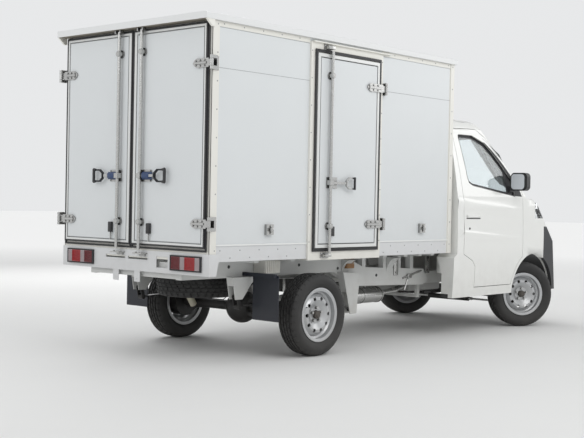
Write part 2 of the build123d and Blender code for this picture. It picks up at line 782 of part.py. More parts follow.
for x in (SPRING_X[0], SPRING_X[1] - 6):
    plate = outline(
        side_view,
        (rear_eye[0] - 16, rear_eye[1]),
        [
            (rear_eye[0] + 16, rear_eye[1]),
            (SHACKLE_TOP[0] + 14, SHACKLE_TOP[1]),
            (SHACKLE_TOP[0] - 14, SHACKLE_TOP[1]),
        ],
    )
    springs += across(plate, x, x + 6)
CLAMP_X = (SPRING_X[0] - 12, SPRING_X[1] + 6)
springs += block(CLAMP_X, (ra(-55), ra(55)), (LEAF_Z + LEAF, LEAF_Z + LEAF + 8))
for x in (SPRING_X[0] - 6, SPRING_X[1] + 5):
    for y in (-48, 48):
        springs += rod((x, ra(y), AXLE_Z - AXLE_TUBE - 10), (x, ra(y), LEAF_Z + LEAF + 14), 4)
springs += block(CLAMP_X, (ra(-55), ra(55)), (AXLE_Z - AXLE_TUBE - 8, AXLE_Z - AXLE_TUBE))
SHOCK_LOW = (-430, ra(95), 270)
SHOCK_TOP = (-400, ra(330), 590)
shock_middle = tuple((a + b) / 2 for a, b in zip(SHOCK_LOW, SHOCK_TOP))
shock = rod(SHOCK_LOW, shock_middle, 26) + rod(SHOCK_LOW, SHOCK_TOP, 12)
save("rear_suspension", both(springs) + both(shock))

# Engine as one block on its mounts with the radiator in front, gearbox and propeller shaft
ENGINE_BACK = fa(1180)
engine = fillet(block((-230, 230), (fa(680), ENGINE_BACK), (340, 740)).edges(), 20)
engine += both(block((-345, -225), (fa(900), fa(960)), (440, 500)))
radiator = block((-300, 300), (fa(-420), fa(-380)), (440, 850))
save("engine", engine + radiator)
gearbox = block((-110, 110), (ENGINE_BACK, fa(1500)), (GEARBOX_FOOT_Z, 560))
gearbox += rod((0, fa(1500), 440), (0, fa(1640), 420), 60)
gearbox += rod((0, fa(1640), 418), (0, ra(-219), AXLE_Z + 14), 34)
save("driveline", gearbox)

# Exhaust on the right, fuel tank on the left, each on its straps
PIPE_X = -300
SILENCER_Y = ra(-1060)
exhaust = rod((-193, ENGINE_BACK - 20, 402), (PIPE_X, ra(-1560), 372), 22)
exhaust -= block((-230, 230), (ENGINE_BACK - 80, ENGINE_BACK), (340, 740))
exhaust += rod((PIPE_X, ra(-1570), 372), (PIPE_X, ra(-1290), 352), 22)
silencer = Pos(PIPE_X, SILENCER_Y, 350) * (Rot(90, 0, 0) * scale(Cylinder(80, 480), (1, 0.8, 1)))
exhaust += silencer + rod((PIPE_X, ra(-830), 352), (PIPE_X, ra(-420), 420), 22)
exhaust += block((PIPE_X - 6, PIPE_X + 6), (ra(-1160), ra(-1140)), (405, 480))
exhaust += block((PIPE_X - 6, PIPE_X + 6), (ra(-620), ra(-600)), (390, 590))
save("exhaust", exhaust)
tank = fillet(block((495, 700), (ra(-1480), ra(-900)), (330, 560)).edges(), 40)
for place in (-1350, -1030):
    tank += block((RAIL_OUT_REAR, 520), (ra(place - 20), ra(place + 20)), (500, 530))
save("fuel_tank", tank)

# Spare wheel slung flat under the rear on a threaded hanger
SPARE = (0, ra(480), 500)
spare = Rot(0, 90, 0) * (tyre_form + rim_form)
hanger = Pos(0, 0, 23) * Cylinder(48, 10) + Pos(0, 0, 60) * Cylinder(12, 80)
save("spare_wheel", Pos(*SPARE) * (spare + hanger))

# Mud flaps behind the rear wheels
flap = block((-805, -560), (ra(468), ra(474)), (280, 600))
flap += block((-790, -RAIL_OUT_REAR), (ra(474), ra(500)), (585, 612))
save("mud_flaps", both(flap))

# Rear lamp panel with its side returns. Slots and holes are two sides in X, then bottom and top.
PANEL_Y = (BOX_REAR_Y, BOX_REAR_Y + 6)
PANEL_Z = (617, 762)
PANEL_HALF = BOX_HALF + 9
PANEL_CUT_Y = (PANEL_Y[0] - 10, PANEL_Y[1] + 10)
PANEL_HOLES = [((-374, -258), (652, 727)), ((69, 278), (700, 720)), ((-169, 37), (698, 718))]
PLATE_TABS_X = (-58, 169)
PLATE_HOLE_Z = 562
PLATE_HOLE_RADIUS = 3.5
LAMP_X = BOX_HALF - 208
LAMP_Z = 693
LAMP_HALF = (147, 52)
panel = block((-PANEL_HALF, PANEL_HALF), PANEL_Y, PANEL_Z)
return_face = outline(
    side_view,
    (PANEL_Y[1], PANEL_Z[1]),
    [(BOX_REAR_Y - 89, PANEL_Z[1]), (BOX_REAR_Y - 59, PANEL_Z[0]), (PANEL_Y[1], PANEL_Z[0])],
)
panel += both(across(return_face, -PANEL_HALF, -PANEL_HALF + 6))
panel -= both(block((LAMP_X - 135, LAMP_X + 135), PANEL_CUT_Y, (LAMP_Z - 40, LAMP_Z + 15)))
for x, z in PANEL_HOLES:
    panel -= block(x, PANEL_CUT_Y, z)
for middle in PLATE_TABS_X:
    tab = block((middle - 30, middle + 30), (PANEL_Y[0], PANEL_Y[0] + 4), (542, PANEL_Z[0] + 3))
    hole_ends = [(middle, y, PLATE_HOLE_Z) for y in PANEL_CUT_Y]
    panel += tab - rod(*hole_ends, PLATE_HOLE_RADIUS)
save("rear_panel", panel)
lens = block(
    (LAMP_X - LAMP_HALF[0], LAMP_X + LAMP_HALF[0]),
    (PANEL_Y[1], PANEL_Y[1] + 18),
    (LAMP_Z - LAMP_HALF[1], LAMP_Z + LAMP_HALF[1]),
)
lens += block((LAMP_X - 130, LAMP_X + 130), (BOX_REAR_Y - 19, PANEL_Y[1]), (LAMP_Z - 35, LAMP_Z + 12))
save("tail_lamps", both(lens))

# Box body: floor, walls, roof and rear frame
WALL_OUT = BOX_HALF - POST_PROUD
WALL_IN = WALL_OUT - BOX_WALL
FRONT_WALL_Y = (BOX_FRONT_Y, BOX_FRONT_Y + BOX_WALL)
REAR_FRAME_Y = (BOX_REAR_Y - BOX_WALL, BOX_REAR_Y)
WALL_Y = (FRONT_WALL_Y[1], REAR_FRAME_Y[0])
SIDE_DOOR_Y = (ra(-655), ra(72))
SIDE_DOOR_Z = (785, ROOF_BAND_Z - 97)
SIDE_SEAL_Y = (ra(-676), ra(100))
SIDE_SEAL_Z = (760, ROOF_BAND_Z - 71)
FRAME_IN_Y = (SIDE_DOOR_Y[0] - CLEAR, SIDE_DOOR_Y[1] + CLEAR)
FRAME_IN_Z = (SIDE_DOOR_Z[0] - CLEAR, SIDE_DOOR_Z[1] + CLEAR)
FRAME_OUT_Y = (ra(-711), ra(138))
FRAME_OUT_Z = (698, ROOF_BAND_Z - 25)
FRAME_PROUD = 15
CUT_X = (-WALL_OUT - 140, -WALL_IN + 100)

floor = block((-WALL_IN, WALL_IN), WALL_Y, (BOX_FLOOR_Z, RAIL_TOP_Z))
rail = block((-WALL_OUT, -WALL_IN), WALL_Y, (BOX_FLOOR_Z, RAIL_TOP_Z))
rail_right = rail - block(CUT_X, FRAME_OUT_Y, FRAME_OUT_Z)
save("box_floor", floor + rail_right + mirror(rail, about=Plane.YZ))

wall = block((-WALL_OUT, -WALL_IN), WALL_Y, (RAIL_TOP_Z, ROOF_BAND_Z))
wall += block((-WALL_OUT - 5, -WALL_OUT), WALL_Y, (RAIL_TOP_Z, RAIL_TOP_Z + 12))
save("box_side_left", mirror(wall, about=Plane.YZ))
save("box_side_right", wall - block(CUT_X, FRAME_OUT_Y, FRAME_OUT_Z))

front_wall = block((-WALL_OUT, WALL_OUT), FRONT_WALL_Y, (BOX_FLOOR_Z, ROOF_BAND_Z))
POST_Y = (BOX_FRONT_Y, BOX_FRONT_Y + POST_WIDTH)
front_post = block((-BOX_HALF, -WALL_OUT), POST_Y, (BOX_FLOOR_Z, ROOF_BAND_Z))
save("box_front", front_wall + both(front_post))

roof_half = BOX_HALF + ROOF_SIDE
roof = block((-roof_half, roof_half), (BOX_FRONT_Y - 15, BOX_REAR_Y + HOOD_REACH), (ROOF_BAND_Z, ROOF_TOP_Z))
roof = fillet(roof.edges().filter_by(Axis.Y).group_by(Axis.Z)[-1], 12)
save("box_roof", roof)

REAR_OPEN_HALF = WALL_IN
REAR_OPEN_Z = (800, ROOF_BAND_Z - 37)
rear_frame = block((-BOX_HALF, BOX_HALF), REAR_FRAME_Y, (BOX_FLOOR_Z, ROOF_BAND_Z))
rear_frame -= block((-REAR_OPEN_HALF, REAR_OPEN_HALF), (BOX_REAR_Y - 100, BOX_REAR_Y + 10), REAR_OPEN_Z)
save("box_rear_frame", rear_frame)

side_frame = block((-WALL_OUT - FRAME_PROUD, -WALL_IN), FRAME_OUT_Y, FRAME_OUT_Z)
side_frame -= block(CUT_X, FRAME_IN_Y, FRAME_IN_Z)
DRIP_Y = (FRAME_OUT_Y[0] - 89, FRAME_OUT_Y[1] - 12)
drip = block((-WALL_OUT - 34, -WALL_OUT), DRIP_Y, (FRAME_OUT_Z[1], FRAME_OUT_Z[1] + 8))
save("side_door_frame", side_frame + drip)

# Rear doors: outer panel over the frame, inner plug inside it, seal lip round the edge
DOOR_FACE_Y = BOX_REAR_Y + 22
REAR_DOOR_HALF = BOX_HALF - 28
REAR_DOOR_Z = (799, ROOF_BAND_Z - 13)
REAR_SEAL_Z = (775, ROOF_BAND_Z - 6)
MIDDLE_GAP = 16
SEAL_THICK = 9
door_panel = block((-REAR_DOOR_HALF, -MIDDLE_GAP), (BOX_REAR_Y + CLEAR, DOOR_FACE_Y), REAR_DOOR_Z)
plug_x = (-REAR_OPEN_HALF + 10, -MIDDLE_GAP - 24)
plug = block(plug_x, (BOX_REAR_Y - 52, BOX_REAR_Y + CLEAR), (REAR_OPEN_Z[0] + 8, REAR_OPEN_Z[1] - 8))
seal_y = (BOX_REAR_Y + CLEAR, BOX_REAR_Y + CLEAR + SEAL_THICK)
seal = block((-REAR_DOOR_HALF - 10, -3), seal_y, REAR_SEAL_Z)
rear_door = door_panel + plug + seal
save("rear_door_right", rear_door)
save("rear_door_left", mirror(rear_door, about=Plane.YZ))

# Side door, hinged at its front edge
SIDE_FACE_X = -WALL_OUT - 28
side_door = block((SIDE_FACE_X, -WALL_IN - CLEAR), SIDE_DOOR_Y, SIDE_DOOR_Z)
side_door += block((SIDE_FACE_X, SIDE_FACE_X + 8), SIDE_SEAL_Y, SIDE_SEAL_Z)
save("side_door", side_door)

# Door hardware: lock rods in guides, handles with their plates, and hinge straps
ROD_RADIUS = 12
ROD_PROUD = 25
REAR_ROD_X = -118
REAR_ROD_Z = (772, ROOF_BAND_Z - 13)
REAR_GUIDES_Z = (957, ROOF_BAND_Z - 165)
REAR_HINGES_Z = (960, ROOF_BAND_Z - 279)
REAR_PIN = (-BOX_HALF - 29, BOX_REAR_Y + 36)
SIDE_ROD_Y = ra(-57)
SIDE_ROD_Z = (745, ROOF_BAND_Z - 77)
SIDE_GUIDES_Z = (944, ROOF_BAND_Z - 254)
SIDE_HINGES_Z = (956, ROOF_BAND_Z - 292)
SIDE_PIN = (-WALL_OUT - 37, ra(-727))
PIN_RADIUS = 6
BARREL_RADIUS = 12
STRAP = 8
STRAP_HALF = 22
LEAF_HALF = 30
LEAF_NOSE = 70
LOOP = (110, 45, 11)


def hinge_leaf(nose, root, height):
    """Bullet-shaped hinge leaf with a rib along its middle, lying on the door's face."""
    face = outline(
        front_view,
        (root, height - LEAF_HALF),
        [
            (nose + LEAF_NOSE, height - LEAF_HALF),
            ((nose + 20, height - LEAF_HALF * 0.74), (nose, height)),
            ((nose + 20, height + LEAF_HALF * 0.74), (nose + LEAF_NOSE, height + LEAF_HALF)),
            (root, height + LEAF_HALF),
        ],
    )
    return along(face, 0, STRAP) + block((nose + 22, root - 20), (0, STRAP + 5), (height - 7, height + 7))


def handle_loop(reach, height):
    """Flat bar bent to a loop that widens towards the grip."""
    length, half, bar = LOOP
    face = outline(
        front_view,
        (reach - length, height - 20),
        [
            (reach - length + 32, height - half),
            (reach, height - half),
            (reach, height + half),
            (reach - length + 32, height + half),
            (reach - length, height + 20),
        ],
    )
    hollow = offset(face, -bar, kind=Kind.INTERSECTION)
    return along(face, ROD_PROUD - 4, ROD_PROUD + 10) - along(hollow, ROD_PROUD - 10, ROD_PROUD + 20)


def lock_gear(rod_z, guides_z, handle_z, reach, hinges_z, strap_from, pin):
    """Lock gear of a door seen face on: X along the door from the lock rod towards the hinges,
    Y outwards from the door's face, Z as on the truck."""
    gear = rod((0, ROD_PROUD, rod_z[0]), (0, ROD_PROUD, rod_z[1]), ROD_RADIUS)
    for height in guides_z:
        gear += rod((0, 0, height), (0, STRAP, height), 28)
        gear += rod((0, 0, height), (0, ROD_PROUD + 15, height), 19)
    gear += block((0, reach - 100), (ROD_PROUD - 4, ROD_PROUD + 8), (handle_z - 9, handle_z + 9))
    gear += handle_loop(reach, handle_z) + block((-20, 95), (0, STRAP), (handle_z - 40, handle_z + 40))
    gear += block((-20, 20), (0, ROD_PROUD + 16), (handle_z - 17, handle_z + 17))
    for height in hinges_z:
        span = (height - STRAP_HALF, height + STRAP_HALF)
        strap = hinge_leaf(strap_from, pin[0] - 3 * BARREL_RADIUS, height)
        strap += block((pin[0] - 3 * BARREL_RADIUS - 5, pin[0]), (0, STRAP), span)
        strap += block((pin[0] - BARREL_RADIUS, pin[0]), (0, pin[1]), span)
        strap += Pos(pin[0], pin[1], height) * Cylinder(BARREL_RADIUS, 2 * STRAP_HALF)
        gear += strap - Pos(pin[0], pin[1], height) * Cylinder(PIN_RADIUS + 0.05, 60)
    return gear


to_rear = Pos(REAR_ROD_X, DOOR_FACE_Y, 0) * mirror(
    lock_gear(
        REAR_ROD_Z,
        REAR_GUIDES_Z,
        1275,
        262,
        REAR_HINGES_Z,
        REAR_DOOR_HALF + REAR_ROD_X - 128,
        (REAR_ROD_X - REAR_PIN[0], REAR_PIN[1] - DOOR_FACE_Y),
    ),
    about=Plane.YZ,
)
to_rear += block((-217, -187), (DOOR_FACE_Y, DOOR_FACE_Y + 20), (880, 950))
to_rear += block((-205, -199), (DOOR_FACE_Y + 6, DOOR_FACE_Y + 14), (826, 881))
save("rear_lock_right", to_rear)
save("rear_lock_left", mirror(to_rear, about=Plane.YZ))

side_gear = lock_gear(
    SIDE_ROD_Z,
    SIDE_GUIDES_Z,
    1259,
    285,
    SIDE_HINGES_Z,
    SIDE_ROD_Y - ra(-497),
    (SIDE_ROD_Y - SIDE_PIN[1], SIDE_FACE_X - SIDE_PIN[0]),
)
side_gear = Pos(SIDE_FACE_X, SIDE_ROD_Y, 0) * (Rot(0, 0, 90) * mirror(side_gear, about=Plane.YZ))
side_gear += block((SIDE_FACE_X - 20, SIDE_FACE_X), (ra(-120), ra(-90)), (870, 940))
save("side_lock", side_gear)

# Fixed hinge halves, rod keepers and wall catches of the box
fixed = Part()
for height in REAR_HINGES_Z:
    hinge = Pos(*REAR_PIN, height) * Cylinder(PIN_RADIUS, 92)
    for step in (-35, 35):
        span = (height + step - 11, height + step + 11)
        hinge += Pos(*REAR_PIN, height + step) * Cylinder(BARREL_RADIUS, 22)
        hinge += block((REAR_PIN[0] - BARREL_RADIUS, REAR_PIN[0] + 6), (BOX_REAR_Y, REAR_PIN[1]), span)
    plate = (height - 46, height + 46)
    hinge += block((-BOX_HALF - 8, -BOX_HALF), (BOX_REAR_Y - 50, BOX_REAR_Y), plate)
    hinge += block((REAR_PIN[0] - BARREL_RADIUS, -BOX_HALF), (BOX_REAR_Y - 8, BOX_REAR_Y), plate)
    fixed += both(hinge)
for height in SIDE_HINGES_Z:
    hinge = Pos(*SIDE_PIN, height) * Cylinder(PIN_RADIUS, 92)
    for step in (-35, 35):
        span = (height + step - 11, height + step + 11)
        hinge += Pos(*SIDE_PIN, height + step) * Cylinder(BARREL_RADIUS, 22)
        hinge += block((SIDE_PIN[0] - 4, -WALL_OUT), (SIDE_PIN[1] - 14, SIDE_PIN[1]), span)
    plate = (height - 46, height + 46)
    hinge += block((-WALL_OUT - STRAP, -WALL_OUT), (SIDE_PIN[1] - 34, SIDE_PIN[1] + 12), plate)
    fixed += hinge
keeper_y = DOOR_FACE_Y + ROD_PROUD
for side in (-1, 1):
    x = side * abs(REAR_ROD_X)
    fixed += block((x - 48, x + 48), (PANEL_Y[1], keeper_y + 14), (738, 746))
    fixed += block((x - 30, x + 30), (PANEL_Y[1], PANEL_Y[1] + 6), (722, 746))
    for edge in (x - 30, x + 20):
        fixed += block((edge, edge + 10), (keeper_y - 14, keeper_y + 20), (ROOF_BAND_Z - 25, ROOF_BAND_Z))
CATCH_Z = (884, 958)
for place in (545, -1278):
    fixed += block((-WALL_OUT - 24, -WALL_OUT), (ra(place - 34), ra(place + 34)), CATCH_Z)
fixed += block((WALL_OUT, WALL_OUT + 24), (ra(511), ra(579)), CATCH_Z)
save("box_hardware", fixed)

print("length", LENGTH, "rear axle", REAR_AXLE_Y, "front axle", FRONT_AXLE_Y)
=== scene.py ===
# %% [markdown]
# A mini truck with an insulated box body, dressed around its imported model.
# Everything is in metres: the front is towards -Y, the left side towards +X, the ground is Z = 0.

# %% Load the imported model
import json
import math

import bmesh
import bpy
from mathutils import Matrix, Vector
from mathutils.bvhtree import BVHTree


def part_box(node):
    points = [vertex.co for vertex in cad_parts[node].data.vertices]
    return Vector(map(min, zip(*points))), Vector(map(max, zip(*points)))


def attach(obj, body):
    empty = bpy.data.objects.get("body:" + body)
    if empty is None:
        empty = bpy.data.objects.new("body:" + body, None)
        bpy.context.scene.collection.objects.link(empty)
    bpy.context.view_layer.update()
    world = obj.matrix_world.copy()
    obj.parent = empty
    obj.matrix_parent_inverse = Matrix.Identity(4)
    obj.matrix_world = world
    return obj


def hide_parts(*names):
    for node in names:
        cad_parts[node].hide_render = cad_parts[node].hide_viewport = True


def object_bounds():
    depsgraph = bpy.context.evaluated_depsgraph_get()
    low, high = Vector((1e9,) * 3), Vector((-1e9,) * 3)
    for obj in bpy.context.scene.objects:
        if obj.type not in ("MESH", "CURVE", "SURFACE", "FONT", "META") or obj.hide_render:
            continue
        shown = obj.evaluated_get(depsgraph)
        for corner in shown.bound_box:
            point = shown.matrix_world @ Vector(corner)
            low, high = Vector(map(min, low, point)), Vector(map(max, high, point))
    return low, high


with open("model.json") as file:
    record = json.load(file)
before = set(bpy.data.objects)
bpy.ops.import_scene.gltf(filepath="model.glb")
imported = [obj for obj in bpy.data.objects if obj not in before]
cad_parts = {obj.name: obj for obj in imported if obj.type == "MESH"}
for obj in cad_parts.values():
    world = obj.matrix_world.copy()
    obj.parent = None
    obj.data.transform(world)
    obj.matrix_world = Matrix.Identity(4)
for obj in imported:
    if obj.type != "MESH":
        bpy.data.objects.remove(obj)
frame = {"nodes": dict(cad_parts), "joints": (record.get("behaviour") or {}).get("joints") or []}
cad_box = [list(map(float, corner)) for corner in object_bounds()]
print("packed model spans", cad_box)

# %% [markdown]
# The camera stands where the photographer stood: low, behind the rear right corner, a little rolled.
# Its place, direction and lens were found by fitting the box body's straight edges, so they are plain
# numbers here. The columns of the camera's matrix are its right, its up and its backward direction.

# %% Camera
CAMERA_AT = Vector((-5.9165, 7.3438, 1.1262))
AZIMUTH, ELEVATION, ROLL = 3.86648, math.radians(0.9709), math.radians(1.1288)
FOCAL_PIXELS, PHOTO_WIDTH, SENSOR = 1103.69, 584, 36.0

scene = bpy.context.scene
backward = Vector(
    (math.sin(AZIMUTH) * math.cos(ELEVATION), -math.cos(AZIMUTH) * math.cos(ELEVATION), math.sin(ELEVATION))
)
level_right = (-backward).cross(Vector((0, 0, 1))).normalized()
level_up = level_right.cross(-backward)
right = math.cos(ROLL) * level_right + math.sin(ROLL) * level_up
up = math.cos(ROLL) * level_up - math.sin(ROLL) * level_right
camera_data = bpy.data.cameras.new("photo_camera")
camera_data.lens = FOCAL_PIXELS / PHOTO_WIDTH * SENSOR
camera_data.sensor_width = SENSOR
camera = bpy.data.objects.new("photo_camera", camera_data)
scene.collection.objects.link(camera)
camera.matrix_world = Matrix.Translation(CAMERA_AT) @ Matrix((right, up, backward)).transposed().to_4x4()
scene.camera = camera
print("lens", round(camera_data.lens, 2), "mm")

# %% [markdown]
# A soft, even studio: a pale floor, a pale world and four large lamps. The world looks brighter to the
# camera, in reflections and through glass than the light it gives, so white paint keeps its tone against a
# white ground. Two small helpers add shader nodes, here and in every finish below.

# %% Node helpers and world
WORLD_LIGHT, WORLD_SEEN = 0.64, 0.82


def add_node(tree, kind, values=None, **settings):
    """Shader node with its settings, and with input values by name."""
    node = tree.nodes.new("ShaderNode" + kind)
    for setting, value in settings.items():
        setattr(node, setting, value)
    for socket, value in (values or {}).items():
        node.inputs[socket].default_value = value
    return node


def math_node(tree, operation, *values):
    """Math node whose inputs are sockets or numbers; returns its output."""
    node = add_node(tree, "Math", operation=operation)
    for socket, value in zip(node.inputs, values):
        if isinstance(value, (int, float)):
            socket.default_value = value
        else:
            tree.links.new(value, socket)
    return node.outputs[0]


scene.view_settings.view_transform = "Standard"
world = bpy.data.worlds.new("studio")
scene.world = world
world.use_nodes = True
world_tree = world.node_tree
world_tree.nodes["Background"].inputs["Color"].default_value = (0.98, 0.99, 1.0, 1)
rays = add_node(world_tree, "LightPath").outputs
seen = math_node(world_tree, "MAXIMUM", rays["Is Camera Ray"], rays["Is Glossy Ray"])
seen = math_node(world_tree, "MAXIMUM", seen, rays["Is Transmission Ray"])
strength = add_node(world_tree, "MapRange", {"To Min": WORLD_LIGHT, "To Max": WORLD_SEEN})
world_tree.links.new(seen, strength.inputs["Value"])
world_tree.links.new(strength.outputs["Result"], world_tree.nodes["Background"].inputs["Strength"])
print("world light", WORLD_LIGHT, "seen as", WORLD_SEEN)

# %% [markdown]
# The key lamp stands on the right, the side that the photograph shows. The others light the back, the
# front and the far side, so that no face turns black. Large lamps give soft shadows, as a pale sky does.

# %% Lamps
# Name, place, what it points at, width, power
LAMPS = [
    ("key", (-6.5, 2.0, 5.5), (0, -0.2, 1.0), 4.5, 150),
    ("back", (1.0, 8.5, 4.5), (0, 1.5, 1.2), 4.0, 95),
    ("front", (-4.5, -7.5, 4.0), (0, -1.8, 1.0), 4.0, 90),
    ("far", (6.5, -3.0, 5.0), (0, -0.5, 1.0), 5.0, 190),
]
for name, place, target, width, power in LAMPS:
    lamp_data = bpy.data.lights.new("lamp_" + name, "AREA")
    lamp_data.size = width
    lamp_data.energy = power
    lamp = bpy.data.objects.new("lamp_" + name, lamp_data)
    scene.collection.objects.link(lamp)
    lamp.location = place
    lamp.rotation_euler = (Vector(target) - Vector(place)).to_track_quat("-Z", "Y").to_euler()
print(len(LAMPS), "lamps")

# %% [markdown]
# Small helpers shape every piece. Each one starts from a bmesh operator and leaves its new vertices in
# their place on the truck, so a finished object can stay at the origin. A piece that exists on both sides
# is modelled on the right side and mirrored for the left one.

# %% Shape helpers
SIDES = {"right": -1, "left": 1}


def add_cube(bm, low, high):
    """Sharp block between two corners."""
    low, high = Vector(low), Vector(high)
    verts = bmesh.ops.create_cube(bm, size=1.0)["verts"]
    bmesh.ops.scale(bm, vec=high - low, verts=verts)
    bmesh.ops.translate(bm, vec=(low + high) / 2, verts=verts)
    return verts


def bevel_edges(bm, edges, width, segments=2):
    """Round the given edges."""
    return bmesh.ops.bevel(
        bm, geom=edges, offset=width, affect="EDGES", segments=segments, profile=0.5, material=-1,
        clamp_overlap=True,
    )["verts"]


def add_block(bm, low, high, bevel=0.0, segments=2):
    """Block between two corners, with rounded edges."""
    verts = add_cube(bm, low, high)
    if not bevel:
        return verts
    return bevel_edges(bm, list({edge for vert in verts for edge in vert.link_edges}), bevel, segments)


def add_rod(bm, start, end, radius, sides=20, end_radius=None):
    """Round bar or cone between two points."""
    start, end = Vector(start), Vector(end)
    run = end - start
    place = Matrix.Translation((start + end) / 2) @ run.to_track_quat("Z", "Y").to_matrix().to_4x4()
    end_radius = radius if end_radius is None else end_radius
    return bmesh.ops.create_cone(
        bm, cap_ends=True, segments=sides, radius1=radius, radius2=end_radius, depth=run.length, matrix=place
    )["verts"]


def add_frame(bm, low, high, width, axis):
    """Flat ring of four sides between two corners; axis is the direction that it faces along."""
    verts = add_cube(bm, low, high)
    faces = {face for vert in verts for face in vert.link_faces}
    caps = [face for face in faces if abs(face.normal[axis]) > 0.9]
    bmesh.ops.inset_individual(bm, faces=caps, thickness=width, depth=0)
    bmesh.ops.bridge_loops(bm, edges=list({edge for face in caps for edge in face.edges}))
    bmesh.ops.delete(bm, geom=caps, context="FACES_ONLY")


def add_bolt(bm, place, direction, radius, height=0.005):
    """Hexagon head with a washer under it."""
    place, direction = Vector(place), Vector(direction).normalized()
    washer_top = place + direction * 0.0015
    add_rod(bm, place, washer_top, radius * 1.35, 20)
    add_rod(bm, washer_top, place + direction * (0.0015 + height), radius, 6, radius * 0.94)


# %% [markdown]
# Every mesh becomes an object in the same way: doubles are merged, the left copy is mirrored and turned
# outwards again, and the piece is told which body carries it and gets its finish.

# %% Finishing a piece


def finish_piece(name, bm, body, material, replaces=(), smooth=40, side=-1, face_out=False):
    """Turn a bmesh into a piece of the truck that rides on a body."""
    if face_out:
        bmesh.ops.recalc_face_normals(bm, faces=bm.faces)
    if side > 0:
        bmesh.ops.scale(bm, vec=(-1, 1, 1), verts=bm.verts)
        bmesh.ops.reverse_faces(bm, faces=bm.faces)
    bmesh.ops.remove_doubles(bm, verts=bm.verts, dist=1e-6)
    mesh = bpy.data.meshes.new(name)
    bm.to_mesh(mesh)
    bm.free()
    piece = bpy.data.objects.new(name, mesh)
    scene.collection.objects.link(piece)
    mesh.materials.append(material)
    if smooth:
        mesh.shade_smooth()
        mesh.set_sharp_from_angle(angle=math.radians(smooth))
    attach(piece, body)
    if replaces:
        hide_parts(*replaces)
    print(name, len(mesh.polygons), "faces on", body)
    return piece


# %% [markdown]
# Every finish starts from one recipe: a colour that drifts a little over a hand's width, a grain that
# lifts the surface, and a roughness that follows the drift. What makes paint, rubber, zinc or cloth
# differ is the size and depth of that grain, and any extra node added to it afterwards.

# %% Recipe of a finish
GLOSS_DRIFT, GRAIN_DEPTH = 0.06, 0.001


def surface(name, colour, rough, metallic=0.0, drift=0.03, drift_scale=3.0, grain=400.0, lift=0.02, coat=0.0):
    """Principled material with colour drift, fine grain and uneven gloss, all from Object coordinates."""
    material = bpy.data.materials.new(name)
    material.use_nodes = True
    tree = material.node_tree
    shader = tree.nodes["Principled BSDF"]
    for socket, value in (("Metallic", metallic), ("Coat Weight", coat), ("Coat Roughness", 0.08)):
        shader.inputs[socket].default_value = value
    darker = (*[c * (1 - drift) for c in colour], 1)
    paler = (*[min(1, c * (1 + drift)) for c in colour], 1)
    place = add_node(tree, "TexCoord").outputs["Object"]
    clouds = add_node(tree, "TexNoise", {"Scale": drift_scale, "Detail": 6})
    tone = add_node(tree, "Mix", {"A": darker, "B": paler}, data_type="RGBA")
    gloss_range = {"To Min": max(0, rough - GLOSS_DRIFT), "To Max": min(1, rough + GLOSS_DRIFT)}
    gloss = add_node(tree, "MapRange", gloss_range)
    speck = add_node(tree, "TexNoise", {"Scale": grain, "Detail": 2})
    bump = add_node(tree, "Bump", {"Strength": lift, "Distance": GRAIN_DEPTH})
    for source, target in (
        (place, clouds.inputs["Vector"]),
        (clouds.outputs["Fac"], tone.inputs["Factor"]),
        (tone.outputs["Result"], shader.inputs["Base Color"]),
        (clouds.outputs["Fac"], gloss.inputs["Value"]),
        (gloss.outputs["Result"], shader.inputs["Roughness"]),
        (place, speck.inputs["Vector"]),
        (speck.outputs["Fac"], bump.inputs["Height"]),
        (bump.outputs["Normal"], shader.inputs["Normal"]),
    ):
        tree.links.new(source, target)
    return material


# %% [markdown]
# Real finishes gather dirt: road dust fades out with height. Painted shade darkens plated metal where small
# parts meet their ground, and glass only needs light to pass. Each of these works on a finish made before, by
# catching the colour on its way to the shader.

# %% Dust, painted shade and glass
DUST = (0.34, 0.31, 0.27, 1)


def add_dust(material, low, high, most):
    """Road dust that fades out between two heights, broken up by noise."""
    tree = material.node_tree
    base = tree.nodes["Principled BSDF"].inputs["Base Color"]
    source = base.links[0].from_socket
    place = add_node(tree, "TexCoord").outputs["Object"]
    split = add_node(tree, "SeparateXYZ")
    fade = add_node(tree, "MapRange", {"From Min": low, "From Max": high, "To Min": most, "To Max": 0})
    patches = add_node(tree, "TexNoise", {"Scale": 14, "Detail": 8})
    tree.links.new(place, split.inputs["Vector"])
    tree.links.new(split.outputs["Z"], fade.inputs["Value"])
    tree.links.new(place, patches.inputs["Vector"])
    amount = math_node(tree, "MULTIPLY", fade.outputs["Result"], patches.outputs["Fac"])
    mix = add_node(tree, "Mix", {"B": DUST}, data_type="RGBA")
    tree.links.new(amount, mix.inputs["Factor"])
    tree.links.new(source, mix.inputs["A"])
    tree.links.new(mix.outputs["Result"], base)


def add_crease_shade(material, reach, darkest):
    """Painted shade: darken creases and the foot of small parts, where shadow falls on plated metal."""
    tree = material.node_tree
    base = tree.nodes["Principled BSDF"].inputs["Base Color"]
    source = base.links[0].from_socket
    crease = add_node(tree, "AmbientOcclusion", {"Distance": reach})
    limits = {"From Min": 0.30, "From Max": 0.85, "To Min": darkest, "To Max": 1.0}
    amount = add_node(tree, "MapRange", limits)
    scale = add_node(tree, "VectorMath", operation="SCALE")
    tree.links.new(crease.outputs["AO"], amount.inputs["Value"])
    tree.links.new(source, scale.inputs[0])
    tree.links.new(amount.outputs["Result"], scale.inputs["Scale"])
    tree.links.new(scale.outputs[0], base)


def clear_glass(name, colour, rough=0.02):
    """Tinted glass: light goes through, with a faint unevenness in the surface."""
    material = surface(name, colour, rough, drift=0.01, grain=60, lift=0.004)
    shader = material.node_tree.nodes["Principled BSDF"]
    shader.inputs["Transmission Weight"].default_value = 1.0
    shader.inputs["IOR"].default_value = 1.45
    return material


# %% [markdown]
# Paints come first. The cab is a glossy white, the box body a cooler white on its panels and a creamy
# white on its posts, and the frame a plain pale grey with dust on it.

